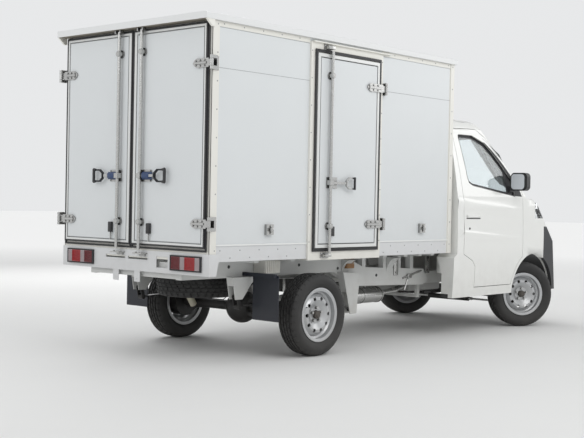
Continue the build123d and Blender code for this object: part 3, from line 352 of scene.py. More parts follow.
# %% Paints
cab_paint = surface("cab_paint", (0.82, 0.825, 0.80), 0.24, coat=0.5, drift=0.015, grain=900, lift=0.01)
box_panel = surface("box_panel", (0.70, 0.725, 0.735), 0.34, drift=0.02, grain=700, lift=0.015)
box_trim = surface("box_trim", (0.80, 0.79, 0.74), 0.36, drift=0.025, grain=700, lift=0.015)
edging = surface("door_edging", (0.74, 0.75, 0.74), 0.3, drift=0.015, grain=600, lift=0.01)
roof_panel = surface("roof_panel", (0.76, 0.77, 0.77), 0.38, drift=0.02, grain=600, lift=0.015)
# Dark brown of the hood's sheets: a brownish tone with painted shade in it.
hood_shade_sheet = surface("hood_shade_sheet", (0.24, 0.215, 0.175), 0.55, drift=0.05, grain=300, lift=0.02)
rail_paint = surface("rail_paint", (0.68, 0.69, 0.70), 0.42, drift=0.03, grain=500, lift=0.02)
white_strip = surface("white_strip", (0.80, 0.81, 0.80), 0.35, drift=0.01, grain=500, lift=0.01)
chassis_paint = surface("chassis_paint", (0.60, 0.61, 0.60), 0.45, drift=0.05, grain=350, lift=0.05)
black_paint = surface("black_paint", (0.016, 0.016, 0.016), 0.5, drift=0.1, grain=350, lift=0.08)
blue_plate = surface("blue_plate", (0.030, 0.060, 0.150), 0.4, drift=0.06, grain=500, lift=0.03)
cream_paint = surface("cream_paint", (0.62, 0.58, 0.46), 0.4, drift=0.05, grain=400, lift=0.04)
wheel_paint = surface(
    "wheel_paint", (0.50, 0.51, 0.52), 0.34, metallic=0.55, drift=0.04, grain=500, lift=0.03
)

# %% [markdown]
# Rubbers and plastics are never quite black, and metals take their look from a low roughness with a
# little grain. Lamp plastics have a clear coat over a deep red or a smoky white.

# %% Rubbers, plastics, metals and glass
sealant = surface("sealant", (0.33, 0.34, 0.35), 0.6, drift=0.05, grain=500, lift=0.03)
seal_rubber = surface("seal_rubber", (0.022, 0.022, 0.024), 0.55, drift=0.1, grain=900, lift=0.05)
bumper_plastic = surface("bumper_plastic", (0.030, 0.032, 0.036), 0.5, drift=0.05, grain=1200, lift=0.18)
black_plastic = surface("black_plastic", (0.025, 0.025, 0.027), 0.42, drift=0.05, grain=1300, lift=0.12)
dash_plastic = surface("dash_plastic", (0.10, 0.10, 0.105), 0.6, drift=0.04, grain=1000, lift=0.2)
tyre_rubber = surface("tyre_rubber", (0.020, 0.020, 0.020), 0.66, drift=0.12, grain=700, lift=0.1)
flap_rubber = surface("flap_rubber", (0.010, 0.013, 0.022), 0.45, drift=0.1, grain=250, lift=0.12)
cast_metal = surface("cast_metal", (0.42, 0.42, 0.41), 0.5, metallic=0.7, drift=0.08, grain=260, lift=0.2)
dark_iron = surface("dark_iron", (0.10, 0.09, 0.08), 0.6, metallic=0.4, drift=0.15, grain=260, lift=0.2)
zinc = surface(
    "zinc", (0.50, 0.50, 0.49), 0.26, metallic=0.85, drift=0.10, drift_scale=18, grain=500, lift=0.06
)
rivet_metal = surface("rivet_metal", (0.36, 0.37, 0.37), 0.4, metallic=0.5, drift=0.1, grain=500, lift=0.04)
chrome = surface("reflector_chrome", (0.80, 0.80, 0.81), 0.08, metallic=1.0, drift=0.01, grain=300, lift=0.01)
# Mirror glass: a pale blue-grey that is mostly diffuse, a painted reflection of the sky.
mirror_glass = surface(
    "mirror_glass", (0.74, 0.78, 0.82), 0.25, metallic=0.1, drift=0.04, grain=300, lift=0.01
)
wood = surface("wood_block", (0.30, 0.17, 0.08), 0.7, drift=0.25, drift_scale=40, grain=200, lift=0.2)
lamp_red = surface("lamp_red", (0.30, 0.008, 0.012), 0.16, drift=0.03, grain=500, lift=0.02, coat=0.6)
lamp_clear = surface("lamp_clear", (0.36, 0.30, 0.31), 0.12, drift=0.02, grain=500, lift=0.02, coat=0.6)
lamp_dark = surface("lamp_dark", (0.12, 0.008, 0.012), 0.2, drift=0.03, grain=500, lift=0.02, coat=0.6)
window_glass = clear_glass("window_glass", (0.85, 0.90, 0.91))
lens_glass = clear_glass("lens_glass", (0.93, 0.95, 0.96), 0.03)

# Finish, height where the dust is thickest, height where it ends, its share at the bottom
DUSTY = [
    (cab_paint, 0.3, 0.75, 0.35), (box_panel, 0.8, 1.1, 0.10), (box_trim, 0.65, 0.95, 0.25),
    (rail_paint, 0.55, 0.9, 0.35), (bumper_plastic, 0.3, 0.7, 0.15), (chassis_paint, 0.2, 0.75, 0.7),
    (black_paint, 0.1, 0.6, 0.10), (wheel_paint, 0.0, 0.5, 0.45), (tyre_rubber, -0.1, 0.62, 0.12),
    (flap_rubber, 0.2, 0.62, 0.06),
]
for material, low, high, most in DUSTY:
    add_dust(material, low, high, most)
# Painted shade in the creases and at the foot of the zinc parts.
add_crease_shade(zinc, 0.035, 0.10)
print(len(bpy.data.materials), "finishes")

# %% [markdown]
# The CAD solids whose shape is already right keep their mesh and only get a finish. The table names the
# nodes that share each finish of the real truck.

# %% Finishes of the CAD nodes
NODE_FINISH = [
    (cab_paint, "cab_shell cab_door_right cab_door_left bonnet"),
    (window_glass, "cab_glass door_glass_right door_glass_left"),
    (lens_glass, "headlamps"),
    (bumper_plastic, "front_bumper"),
    (dash_plastic, "dashboard"),
    (black_plastic, "mirror_right mirror_left steering_wheel seats"),
    (chassis_paint, "frame"),
    (black_paint, "front_suspension rear_axle rear_suspension fuel_tank"),
    (dark_iron, "knuckle_right knuckle_left"),
    (zinc, "steering_rack exhaust rear_lock_right rear_lock_left side_lock box_hardware"),
    (cast_metal, "engine driveline"),
    (flap_rubber, "mud_flaps"),
    (rail_paint, "rear_panel box_floor"),
    (box_panel, "box_side_left box_side_right rear_door_right rear_door_left side_door"),
    (box_trim, "box_front box_rear_frame side_door_frame"),
    (roof_panel, "box_roof"),
    (wheel_paint, "rim_front_right rim_front_left rim_rear_right rim_rear_left"),
    (tyre_rubber, "spare_wheel tyre_front_right tyre_front_left tyre_rear_right tyre_rear_left"),
    (lamp_red, "tail_lamps"),
]
finished = set()
for material, names in NODE_FINISH:
    for node in names.split():
        node_slots = frame["nodes"][node].data.materials
        node_slots.clear()
        node_slots.append(material)
        finished.add(node)
print("nodes without a finish:", sorted(set(frame["nodes"]) - finished))

# %% [markdown]
# The floor is a wide sheet of pale card. It isn't part of the truck. Far away it glows a little, which
# keeps the horizon as bright as the world behind it.

# %% Floor
FLOOR_HALF, GLOW_FROM, GLOW_FULL, GLOW = 60, 5.0, 16.0, 0.34
bm = bmesh.new()
bmesh.ops.create_grid(bm, x_segments=1, y_segments=1, size=FLOOR_HALF)
floor_mesh = bpy.data.meshes.new("studio_floor")
bm.to_mesh(floor_mesh)
bm.free()
floor = bpy.data.objects.new("studio_floor", floor_mesh)
scene.collection.objects.link(floor)
floor_card = surface("studio_floor", (0.80, 0.80, 0.79), 0.85, drift=0.01, grain=40, lift=0.01)
card_tree = floor_card.node_tree
card_place = add_node(card_tree, "TexCoord")
distance = add_node(card_tree, "VectorMath", operation="LENGTH")
glow = add_node(card_tree, "MapRange", {"From Min": GLOW_FROM, "From Max": GLOW_FULL, "To Max": GLOW})
card_shader = card_tree.nodes["Principled BSDF"]
card_shader.inputs["Emission Color"].default_value = (1, 1, 1, 1)
card_tree.links.new(card_place.outputs["Object"], distance.inputs[0])
card_tree.links.new(distance.outputs["Value"], glow.inputs["Value"])
card_tree.links.new(glow.outputs["Result"], card_shader.inputs["Emission Strength"])
floor_mesh.materials.append(floor_card)
print("floor", 2 * FLOOR_HALF, "m wide")

# %% [markdown]
# Each rear door is a sandwich panel in a white aluminium edging. Between the edging and the skin runs a
# thin grey bead of sealant, and a black rubber lip goes all round the leaf. The plug inside the rubber
# closes the cold space. Panels are blocks and the other parts are rings, so one helper makes them all. The
# pieces stand in for the plain CAD leaf.

# %% Rear doors
DOOR = {"x": (-0.738, -0.016), "y": (2.339, 2.356), "z": (0.799, 2.274)}
LIP = {"x": (-0.748, -0.003), "y": (2.339, 2.348), "z": (0.775, 2.281)}
PLUG = {"x": (-0.690, -0.040), "y": (2.282, 2.340), "z": (0.808, 2.242)}
RUBBER = {"x": (-0.739, -0.0035), "y": (2.3470, 2.3575), "z": (0.798, 2.275)}
EDGE_WIDTH, BEAD = 0.032, 0.004


def ends(ranges, grow=0.0, depth=None, axis="y"):
    """Lowest and highest corner of a door part, grown in the plane of the door."""
    low, high = [], []
    for letter in "xyz":
        start, end = ranges[letter]
        if letter == axis:
            start, end = depth or (start, end)
        else:
            start, end = start - grow, end + grow
        low.append(start)
        high.append(end)
    return low, high


def door_part(name, body, material, corners, ring=0.0, bevel=0.0, axis=1, side=-1, replaces=()):
    """Panel between two corners, or a ring of the given width."""
    bm = bmesh.new()
    if ring:
        add_frame(bm, *corners, ring, axis)
        if bevel:
            bevel_edges(bm, [edge for edge in bm.edges if edge.calc_face_angle(0) > 1], bevel)
    else:
        add_block(bm, *corners, bevel)
    finish_piece(name, bm, body, material, replaces, side=side)


inner_bead = -EDGE_WIDTH + 0.001
for side_name, side in SIDES.items():
    leaf = "rear_door_" + side_name
    for part, material, slot, corners, ring, bevel in (
        ("skin", box_panel, "box_panel", ends(DOOR, -EDGE_WIDTH, (2.341, 2.3545)), 0, 0),
        ("edging", edging, "box_trim", ends(DOOR), EDGE_WIDTH, 0.003),
        ("sealant", sealant, "box_panel", ends(DOOR, inner_bead, (2.3440, 2.3552)), BEAD, 0),
        ("lip", seal_rubber, "black_plastic", ends(LIP), 0.014, 0.0025),
        ("rubber", seal_rubber, "black_plastic", ends(RUBBER), 0.017, 0),
        ("plug", box_panel, "box_panel", ends(PLUG), 0, 0.006),
    ):
        replaces = [leaf] if part == "skin" else ()
        door_part(f"{leaf}_{part}", leaf, material, corners, ring, bevel, side=side, replaces=replaces)

# %% [markdown]
# The side door is built in the same way, in the plane of Y and Z. Its leaf is one piece of 83 mm, so it
# needs no plug, and its lip is broader.

# %% Side door
SIDE_DOOR = {"x": (-0.788, -0.705), "y": (0.570, 1.297), "z": (0.785, 2.190)}
SIDE_LIP = {"x": (-0.7878, -0.780), "y": (0.549, 1.325), "z": (0.760, 2.216)}
for part, material, slot, corners, ring, bevel in (
    ("skin", box_panel, "box_panel", ends(SIDE_DOOR, -EDGE_WIDTH, (-0.7865, -0.706), "x"), 0, 0),
    ("edging", edging, "box_trim", ends(SIDE_DOOR, axis="x"), EDGE_WIDTH, 0.003),
    ("sealant", sealant, "box_panel", ends(SIDE_DOOR, inner_bead, (-0.7872, -0.776), "x"), BEAD, 0),
    ("lip", seal_rubber, "black_plastic", ends(SIDE_LIP, axis="x"), 0.026, 0.002),
):
    replaces = ["side_door"] if part == "skin" else ()
    door_part(f"side_door_{part}", "side_door", material, corners, ring, bevel, 0, replaces=replaces)

# %% [markdown]
# A tyre is a rubber ring with four grooves round its tread. It could be built from a torus, but a drawn
# profile spun about the axle gives the bead, the side wall and the grooves in one closed skin.

# %% Tyre profile
RIM_HALF, BEAD_RADIUS, RIM_RADIUS, GROOVE = 0.0665, 0.178, 0.195, 0.007
TREAD_STEPS = 108


def add_turned(bm, points, place, steps=64):
    """Ring spun about the X axis from (x, radius) points, then moved by a matrix."""
    verts = [bm.verts.new((x, 0, radius)) for x, radius in points]
    edges = [bm.edges.new((a, b)) for a, b in zip(verts, verts[1:] + verts[:1])]
    bmesh.ops.spin(
        bm, geom=verts + edges, cent=(0, 0, 0), axis=(1, 0, 0), angle=2 * math.pi, steps=steps, use_merge=True
    )
    ring, grow = set(), [verts[0]]
    while grow:
        vert = grow.pop()
        if vert not in ring:
            ring.add(vert)
            grow += [edge.other_vert(vert) for edge in vert.link_edges]
    ring = list(ring)
    bmesh.ops.recalc_face_normals(bm, faces=list({face for vert in ring for face in vert.link_faces}))
    bmesh.ops.transform(bm, matrix=place, verts=ring)
    return ring


def tyre_profile():
    """Half of the section from the bead to the middle of the tread, then its mirror image."""
    half = [
        (RIM_HALF, BEAD_RADIUS), (RIM_HALF + 0.0005, RIM_RADIUS + 0.003), (0.0765, 0.209), (0.0840, 0.226),
        (0.0876, 0.244), (0.0880, 0.252), (0.0868, 0.262), (0.0830, 0.273), (0.0772, 0.282), (0.0705, 0.2895),
        (0.0640, 0.2955), (0.0460, 0.2978), (0.0452, 0.2978 - GROOVE), (0.0372, 0.2985 - GROOVE),
        (0.0364, 0.2985), (0.0176, 0.2996), (0.0168, 0.2996 - GROOVE), (0.0088, 0.2997 - GROOVE),
        (0.0080, 0.2998),
    ]
    inside = [(-RIM_HALF + 0.01, BEAD_RADIUS + 0.001), (RIM_HALF - 0.01, BEAD_RADIUS + 0.001)]
    return half + [(-x, radius) for x, radius in reversed(half)] + inside


print(len(tyre_profile()), "points in the tyre's profile")

# %% [markdown]
# Short slits cross the ribs and the shoulders. A boolean cut would leave ragged edges on the round tyre, so
# some faces of the ribs are inset instead, and pushed in. The rubber stays one closed skin.

# %% Cross cuts of the tread
RIB_RADIUS, SHOULDER_RADIUS, CUT_WIDTH, CUT_DEPTH = 0.284, 0.2935, 0.0048, 0.0045


def cut_tread(bm, verts):
    """Push in slits across the ribs, every third step round the tyre, staggered from rib to rib."""
    cuts = []
    for face in {face for vert in verts for face in vert.link_faces}:
        middle = face.calc_center_median()
        radius = math.hypot(middle.y, middle.z)
        in_groove = radius < SHOULDER_RADIUS and abs(middle.x) < 0.06
        if radius < RIB_RADIUS or abs(face.normal.x) > 0.75 or in_groove:
            continue
        step = round(math.atan2(middle.z, middle.y) / (2 * math.pi) * TREAD_STEPS - 0.5) % TREAD_STEPS
        phase = 0
        if 0.012 < abs(middle.x) <= 0.05:
            phase = 1 if middle.x > 0 else 2
        if (step + phase) % 3 == 0:
            cuts.append(face)
    bmesh.ops.inset_individual(bm, faces=cuts, thickness=CUT_WIDTH, depth=0)
    for face in cuts:
        middle = face.calc_center_median()
        inward = Vector((0, -middle.y, -middle.z)).normalized()
        for vert in face.verts:
            vert.co += inward * CUT_DEPTH


# %% [markdown]
# A wheel is made about the origin and then taken to its hub by a matrix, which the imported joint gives. The
# front wheels stand steered at rest, so their axles aren't parallel to X.

# %% Road tyres
WHEELS = ["front_right", "front_left", "rear_right", "rear_left"]


def wheel_place(wheel):
    """Matrix that takes a wheel made about the origin, outer face towards -X, to its hub."""
    joint = next(joint for joint in frame["joints"] if joint["name"] == "spin_" + wheel)
    axis = Vector(joint["axis"]).normalized()
    outward = -axis if "right" in wheel else axis
    across = Vector((0, 0, 1)).cross(-outward)
    turn = Matrix((-outward, across, Vector((0, 0, 1)))).transposed().to_4x4()
    return Matrix.Translation(Vector(joint["pos_m"])) @ turn


for wheel in WHEELS:
    bm = bmesh.new()
    cut_tread(bm, add_turned(bm, tyre_profile(), Matrix.Identity(4), TREAD_STEPS))
    bmesh.ops.recalc_face_normals(bm, faces=bm.faces)
    bmesh.ops.transform(bm, matrix=wheel_place(wheel), verts=bm.verts)
    finish_piece(f"tyre_{wheel}_tread", bm, "wheel_" + wheel, tyre_rubber, [f"tyre_{wheel}"], 30)

# %% [markdown]
# Five nuts hold each wheel, a dark cap closes its hub, and the tyre valve stands out of the rim. A nut is a
# round collar with a six-sided rod on it.

# %% Wheel nuts and hub caps
NUT_COUNT, NUT_CIRCLE = 5, 0.050
for wheel in WHEELS:
    bm = bmesh.new()
    for nut in range(NUT_COUNT):
        angle = math.radians(360 / NUT_COUNT * nut + 18)
        y, z = NUT_CIRCLE * math.cos(angle), NUT_CIRCLE * math.sin(angle)
        add_rod(bm, (-0.033, y, z), (-0.037, y, z), 0.0125, 20, 0.011)
        add_rod(bm, (-0.037, y, z), (-0.052, y, z), 0.0095, 6, 0.009)
    add_rod(bm, (-0.060, 0.135, 0.060), (-0.078, 0.139, 0.062), 0.004, 12, 0.003)
    bmesh.ops.transform(bm, matrix=wheel_place(wheel), verts=bm.verts)
    finish_piece(f"hub_{wheel}", bm, "wheel_" + wheel, zinc)
    bm = bmesh.new()
    add_rod(bm, (-0.0300, 0, 0), (-0.0566, 0, 0), 0.0300, 32, 0.0290)
    add_rod(bm, (-0.0566, 0, 0), (-0.0640, 0, 0), 0.0235, 32, 0.0160)
    bmesh.ops.transform(bm, matrix=wheel_place(wheel), verts=bm.verts)
    finish_piece(f"hub_cap_{wheel}", bm, "wheel_" + wheel, dark_iron)

# %% [markdown]
# The box is held together by rivets. They run down the corner posts, along the band under the roof, round
# the side door's frame and along the bottom rail. One joined mesh holds each run, and every rivet is a low
# dome of a few dozen faces, so a hundred of them stay cheap.

# %% Rivets
WALL, POST, BAND_TOP = 0.760, 0.766, 2.287
PITCH = 0.186
OUT = {"right": (-1, 0, 0), "left": (1, 0, 0)}


def add_dome(bm, place, radius):
    """Low rivet head that stands on the right side."""
    place, outward = Vector(place), Vector(OUT["right"])
    rim, top = place + outward * radius * 0.35, place + outward * radius * 0.6
    add_rod(bm, place, rim, radius, 8, radius * 0.9)
    add_rod(bm, rim, top, radius * 0.9, 8, radius * 0.4)


def steps(start, end, pitch=PITCH):
    """Evenly spaced values from start to end."""
    count = max(1, round((end - start) / pitch))
    return [start + (end - start) * i / count for i in range(count + 1)]


for side_name, side in SIDES.items():
    bm = bmesh.new()
    for z in steps(0.785, 2.265):
        add_dome(bm, (-POST - 0.002, 2.290, z), 0.0052)
        add_dome(bm, (-POST, -0.464, z), 0.0052)
    for y in steps(-0.40, 2.23):
        add_dome(bm, (-WALL - 0.003, y, 2.272), 0.0048)
        if side > 0 or not 0.50 < y < 1.38:
            add_dome(bm, (-WALL, y, 0.785), 0.0050)
            add_dome(bm, (-WALL, y + PITCH / 2, 0.735), 0.0050)
    if side < 0:
        for z in steps(0.83, 2.20):
            add_dome(bm, (-WALL - 0.015, 1.352, z), 0.0048)
            add_dome(bm, (-WALL - 0.015, 0.525, z), 0.0048)
    finish_piece(f"box_rivets_{side_name}", bm, "chassis", rivet_metal, side=side)

# %% [markdown]
# Thin strips run along each side: a riveted band under the roof with a corner cover behind it, two joint
# lines where panels meet, and a white lip over the bottom rail. On the right they stop at the side door.

# %% Joint strips of the box
for side_name, side in SIDES.items():
    runs = [(-0.436, 2.272)] if side > 0 else [(-0.436, 0.513), (1.364, 2.272)]
    bm = bmesh.new()
    for y0, y1 in runs:
        add_block(bm, (-WALL - 0.003, y0, 2.252), (-WALL + 0.001, y1, BAND_TOP), 0.001, 1)
    add_block(bm, (-POST - 0.002, 2.2735, 0.712), (-WALL + 0.002, 2.334, 2.286), 0.0015, 1)
    finish_piece(f"box_band_{side_name}", bm, "chassis", box_trim, side=side)
    bm = bmesh.new()
    for y0, y1 in runs:
        for low, high in ((1.9830, 1.9856), (2.2478, 2.2500)):
            add_block(bm, (-WALL - 0.0012, y0, low), (-WALL + 0.002, y1, high), 0.0004, 1)
    finish_piece(f"box_seam_{side_name}", bm, "chassis", sealant, side=side)
    bm = bmesh.new()
    for y0, y1 in runs:
        add_block(bm, (-WALL - 0.0068, y0, 0.8145), (-WALL - 0.0045, y1, 0.8265), 0.0008, 1)
    finish_piece(f"rail_strip_{side_name}", bm, "chassis", white_strip, side=side)

# %% [markdown]
# The roof runs past the doors as a hood. Its back face is a bent sheet in a dark brown: a brownish tone
# with the shade under the overhang painted into it. A tapered bracket at each end carries it on the corner
# post. The camera sees both from below.

# %% Hood shade sheet and brackets
BRACKET_BACK, BRACKET_TAPER = 2.3365, 0.35
bm = bmesh.new()
add_block(bm, (-0.786, 2.4135, 2.2885), (0.786, 2.41495, 2.3290), 0.0006, 1)
add_block(bm, (-0.784, 2.336, 2.2862), (0.784, 2.413, 2.2872), 0.0003, 1)
finish_piece("hood_shade_sheet", bm, "chassis", hood_shade_sheet)
bm = bmesh.new()
for side in (-1, 1):
    x0, x1 = sorted((side * 0.7865, side * 0.7715))
    for vert in add_block(bm, (x0, BRACKET_BACK, 2.240), (x1, 2.412, 2.288), 0.002):
        if vert.co.z < 2.262:
            vert.co.y = BRACKET_BACK + (vert.co.y - BRACKET_BACK) * BRACKET_TAPER
finish_piece("hood_brackets", bm, "chassis", box_trim)

# %% [markdown]
# Each tail lamp sits in a black housing with a raised rim. Rim, back plate and the box of the wires behind
# the panel are plain blocks and a ring, made in one bmesh for both lamps.

# %% Tail lamp housings
LAMP_X, LAMP_Z = (0.411, 0.705), (0.641, 0.745)
bm = bmesh.new()
for side in (-1, 1):
    x0, x1 = sorted(side * x for x in LAMP_X)
    add_frame(bm, (x0, 2.3405, LAMP_Z[0]), (x1, 2.3562, LAMP_Z[1]), 0.008, 1)
    add_block(bm, (x0 + 0.006, 2.3405, LAMP_Z[0] + 0.006), (x1 - 0.006, 2.3465, LAMP_Z[1] - 0.006))
    add_block(bm, (x0 + 0.020, 2.318, 0.660), (x1 - 0.020, 2.3405, 0.704), 0.004)
finish_piece("tail_lamp_housings", bm, "chassis", black_plastic, ["tail_lamps"])

# %% [markdown]
# Four lenses lie side by side in the rim: clear at the outer end, then red, clear again, and dark red at
# the inner end. Moulded ribs in the lens catch the light. A bump would fade in a small picture, so every
# lens has a row of fine upright rods on its face.

# %% Tail lamp lenses
LENS_RIM, LENS_FACE = 0.009, 2.3560
# Lenses from the outer end: share of the width and kind
LENSES = [(0.16, "clear"), (0.36, "red"), (0.16, "clear"), (0.32, "dark")]
LENS_FINISH = {
    "clear": (lamp_clear, "lamp_clear"), "red": (lamp_red, "lamp_red"), "dark": (lamp_dark, "lamp_red")
}
low, high = LAMP_Z[0] + LENS_RIM, LAMP_Z[1] - LENS_RIM
for kind, (material, slot) in LENS_FINISH.items():
    bm = bmesh.new()
    for side in (-1, 1):
        outer, width = LAMP_X[1] - LENS_RIM, LAMP_X[1] - LAMP_X[0] - 2 * LENS_RIM
        for share, lens in LENSES:
            inner = outer - share * width
            if lens == kind:
                x0, x1 = sorted((side * (inner + 0.0008), side * (outer - 0.0008)))
                add_block(bm, (x0, 2.3470, low), (x1, LENS_FACE, high), 0.002)
                for x in steps(x0 + 0.006, x1 - 0.006, 0.0075):
                    add_rod(bm, (x, LENS_FACE, low + 0.005), (x, LENS_FACE, high - 0.005), 0.0019, 8)
            outer = inner
    finish_piece(f"tail_lamp_lenses_{kind}", bm, "chassis", material)

# %% [markdown]
# The lock gear keeps its CAD shape. On top of it come the parts a hand meets: a blue plate over each rear
# handle's pivot, a black grip on the handle's end bar, and the black rubber block of the holdback. Bolt
# heads show where leaves, guides and keepers are fixed.

# %% Rear lock details
ROD_X, HANDLE_Z, FACE_Y = -0.118, 1.275, 2.356
GRIP_X, GRIP_Y = ROD_X - 0.262, FACE_Y + 0.028
HINGE_LIFTS = (-0.018, 0.018)
# The plate's two steps: from and to beside the rod, foot and top above the face, half height
PLATE_BLOCKS = [(-0.110, -0.018, 0.0075, 0.0200, 0.026), (-0.100, -0.030, 0.0200, 0.0365, 0.016)]
GUIDE_BOLTS = ((-0.021, 0), (0.021, 0), (0, -0.022), (0, 0.022))
for side_name, side in SIDES.items():
    leaf = "rear_door_" + side_name
    bm = bmesh.new()
    for start, end, foot, top, half in PLATE_BLOCKS:
        low = (ROD_X + start, FACE_Y + foot, HANDLE_Z - half)
        add_block(bm, low, (ROD_X + end, FACE_Y + top, HANDLE_Z + half), 0.003)
    finish_piece(f"handle_plate_{side_name}", bm, leaf, blue_plate, side=side)
    bm = bmesh.new()
    bar_x = GRIP_X + 0.0055
    add_rod(bm, (bar_x, GRIP_Y, HANDLE_Z - 0.047), (bar_x, GRIP_Y, HANDLE_Z + 0.047), 0.0105, 16)
    for z in (-0.045, 0.045):
        start, end = (GRIP_X + 0.004, GRIP_Y, HANDLE_Z + z), (GRIP_X + 0.026, GRIP_Y, HANDLE_Z + z * 0.90)
        add_rod(bm, start, end, 0.0092, 12)
    add_block(bm, (-0.2185, FACE_Y + 0.0005, 0.879), (-0.1855, FACE_Y + 0.0215, 0.951), 0.003)
    finish_piece(f"handle_grip_{side_name}", bm, leaf, black_plastic, side=side)
    bm = bmesh.new()
    for z in (0.960, 2.008):
        for x in (-0.640, -0.680, -0.722):
            for lift in HINGE_LIFTS:
                place = (x, FACE_Y + 0.008, z + lift * (0.75 if x > -0.65 else 1))
                add_bolt(bm, place, (0, 1, 0), 0.0055)
    for z in (0.957, 2.122):
        for x, dz in GUIDE_BOLTS:
            add_bolt(bm, (ROD_X + x, FACE_Y + 0.008, z + dz), (0, 1, 0), 0.0035, 0.003)
        add_rod(bm, (ROD_X, FACE_Y + 0.039, z), (ROD_X, FACE_Y + 0.043, z), 0.0155, 24, 0.012)
    for x in (-0.036, 0.036):
        add_bolt(bm, (ROD_X + x, 2.370, 0.746), (0, 0, 1), 0.006)
    for x in (-0.092, 0.024):
        for z in (0.034, -0.034):
            add_bolt(bm, (ROD_X + x, FACE_Y + 0.008, HANDLE_Z + z), (0, 1, 0), 0.004, 0.003)
    finish_piece(f"lock_bolts_{side_name}", bm, leaf, zinc, side=side)

# %% [markdown]
# The side door has the same gear on its own plane, without the blue plate: a grip, a rubber block, and the
# bolt heads of hinge leaves and rod guides.

# %% Side lock details
SIDE_X, SIDE_ROD, SIDE_HANDLE = -0.788, 1.168, 1.259
bar_x, bar_y = SIDE_X - 0.028, SIDE_ROD - 0.2795
bm = bmesh.new()
add_rod(bm, (bar_x, bar_y, SIDE_HANDLE - 0.047), (bar_x, bar_y, SIDE_HANDLE + 0.047), 0.0085, 16)
add_block(bm, (SIDE_X - 0.0205, 1.104, 0.869), (SIDE_X - 0.0005, 1.136, 0.941), 0.003)
finish_piece("side_handle_grip", bm, "side_door", black_plastic)
bm = bmesh.new()
for z in (0.956, 1.995):
    for y in (0.705, 0.655, 0.600):
        for lift in HINGE_LIFTS:
            add_bolt(bm, (SIDE_X - 0.008, y, z + lift * (0.75 if y > 0.7 else 1)), OUT["right"], 0.0055)
for z in (0.944, 2.033):
    for y, dz in GUIDE_BOLTS:
        add_bolt(bm, (SIDE_X - 0.008, SIDE_ROD + y, z + dz), OUT["right"], 0.0035, 0.003)
    add_rod(bm, (SIDE_X - 0.039, SIDE_ROD, z), (SIDE_X - 0.043, SIDE_ROD, z), 0.0155, 24, 0.012)
finish_piece("side_lock_bolts", bm, "side_door", zinc)

# %% [markdown]
# The side door's rod ends in two keepers on the frame, and catches on the walls hold an opened door back.
# They stay where they are when a door swings, so they ride on the chassis.

# %% Keepers and wall catches
bm = bmesh.new()
for z0, z1 in ((0.722, 0.740), (2.222, 2.246)):
    add_block(bm, (-0.820, SIDE_ROD - 0.020, z0), (-0.776, SIDE_ROD + 0.050, z1), 0.003)
    add_block(bm, (-0.7825, SIDE_ROD - 0.032, z0 - 0.010), (-0.7755, SIDE_ROD + 0.060, z1 + 0.010), 0.002)
    for y in (-0.022, 0.050):
        add_bolt(bm, (-0.7825, SIDE_ROD + y, z0 + 0.009), OUT["right"], 0.006)
finish_piece("side_keepers", bm, "chassis", zinc)
bm = bmesh.new()
for side_name, y in (("right", 1.770), ("right", -0.053), ("left", 1.770)):
    side = SIDES[side_name]
    for z in (0.898, 0.944):
        add_bolt(bm, (side * (WALL + 0.024), y, z), OUT[side_name], 0.006)
    x0, x1 = sorted((side * (WALL + 0.024), side * (WALL + 0.046)))
    add_block(bm, (x0, y - 0.012, 0.908), (x1, y + 0.012, 0.934), 0.003)
finish_piece("wall_catch_details", bm, "chassis", zinc)

# %% [markdown]
# Trim on the cab has to follow its bulging skin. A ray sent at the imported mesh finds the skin's place for
# any point of a side or front drawing, so strips of faces can be laid on it a millimetre proud. Drawings
# are in millimetres: behind the front axle and up for the side, across and up for the front.

# %% Rays and strips
FRONT_AXLE = -1.825
print("drawings of the side start at the front axle, Y =", FRONT_AXLE)


def tree_of(*names):
    """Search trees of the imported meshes."""
    meshes = [frame["nodes"][name].data for name in names]
    return [BVHTree.FromPolygons([v.co for v in m.vertices], [p.vertices for p in m.polygons]) for m in meshes]


def cast(trees, origin, direction, otherwise=None):
    """First hit of a ray on the trees, or a given place when it misses."""
    hits = [hit for hit in (tree.ray_cast(origin, direction) for tree in trees) if hit[0] is not None]
    return min(hits, key=lambda hit: hit[3])[0] if hits else otherwise


def on_side(place, trees, proud):
    """Point on the right side at (distance behind the front axle, height)."""
    y, z = FRONT_AXLE + place[0] / 1000, place[1] / 1000
    hit = cast(trees, Vector((-1.5, y, z)), Vector((1, 0, 0)), Vector((-0.75, y, z)))
    return Vector((hit.x - proud, y, z))


def on_front(x, z, trees, proud=0.0, otherwise=-1.9):
    """Point on the front, in metres, a little ahead of the skin."""
    hit = cast(trees, Vector((x, -3.0, z)), Vector((0, 1, 0)))
    return Vector((x, (hit.y if hit else otherwise) - proud, z))


def add_strip(bm, rows, closed=False):
    """Faces between rows of points of equal length."""
    made = [[bm.verts.new(point) for point in row] for row in rows]
    for low, high in zip(made, made[1:]):
        count = len(low)
        for i in range(count if closed else count - 1):
            k = (i + 1) % count
            bm.faces.new((low[i], low[k], high[k], high[i]))


# %% [markdown]
# An outline is a list of corners. It can be grown in its own plane, for the laps of a rubber, and every
# stretch can be cut into equal parts, so that a long straight strip still follows a curved skin.

# %% Outlines


def grown(points, distance):
    """Closed outline moved outwards by a distance, in its own plane."""
    area = sum(a[0] * b[1] - b[0] * a[1] for a, b in zip(points, points[1:] + points[:1]))
    turn = 1 if area > 0 else -1
    result = []
    for before, here, after in zip(points[-1:] + points[:-1], points, points[1:] + points[:1]):
        first = Vector((here[1] - before[1], before[0] - here[0])).normalized()
        second = Vector((after[1] - here[1], here[0] - after[0])).normalized()
        normal = (first + second).normalized()
        reach = distance / max(0.5, normal.dot(first))
        result.append((here[0] + turn * normal.x * reach, here[1] + turn * normal.y * reach))
    return result


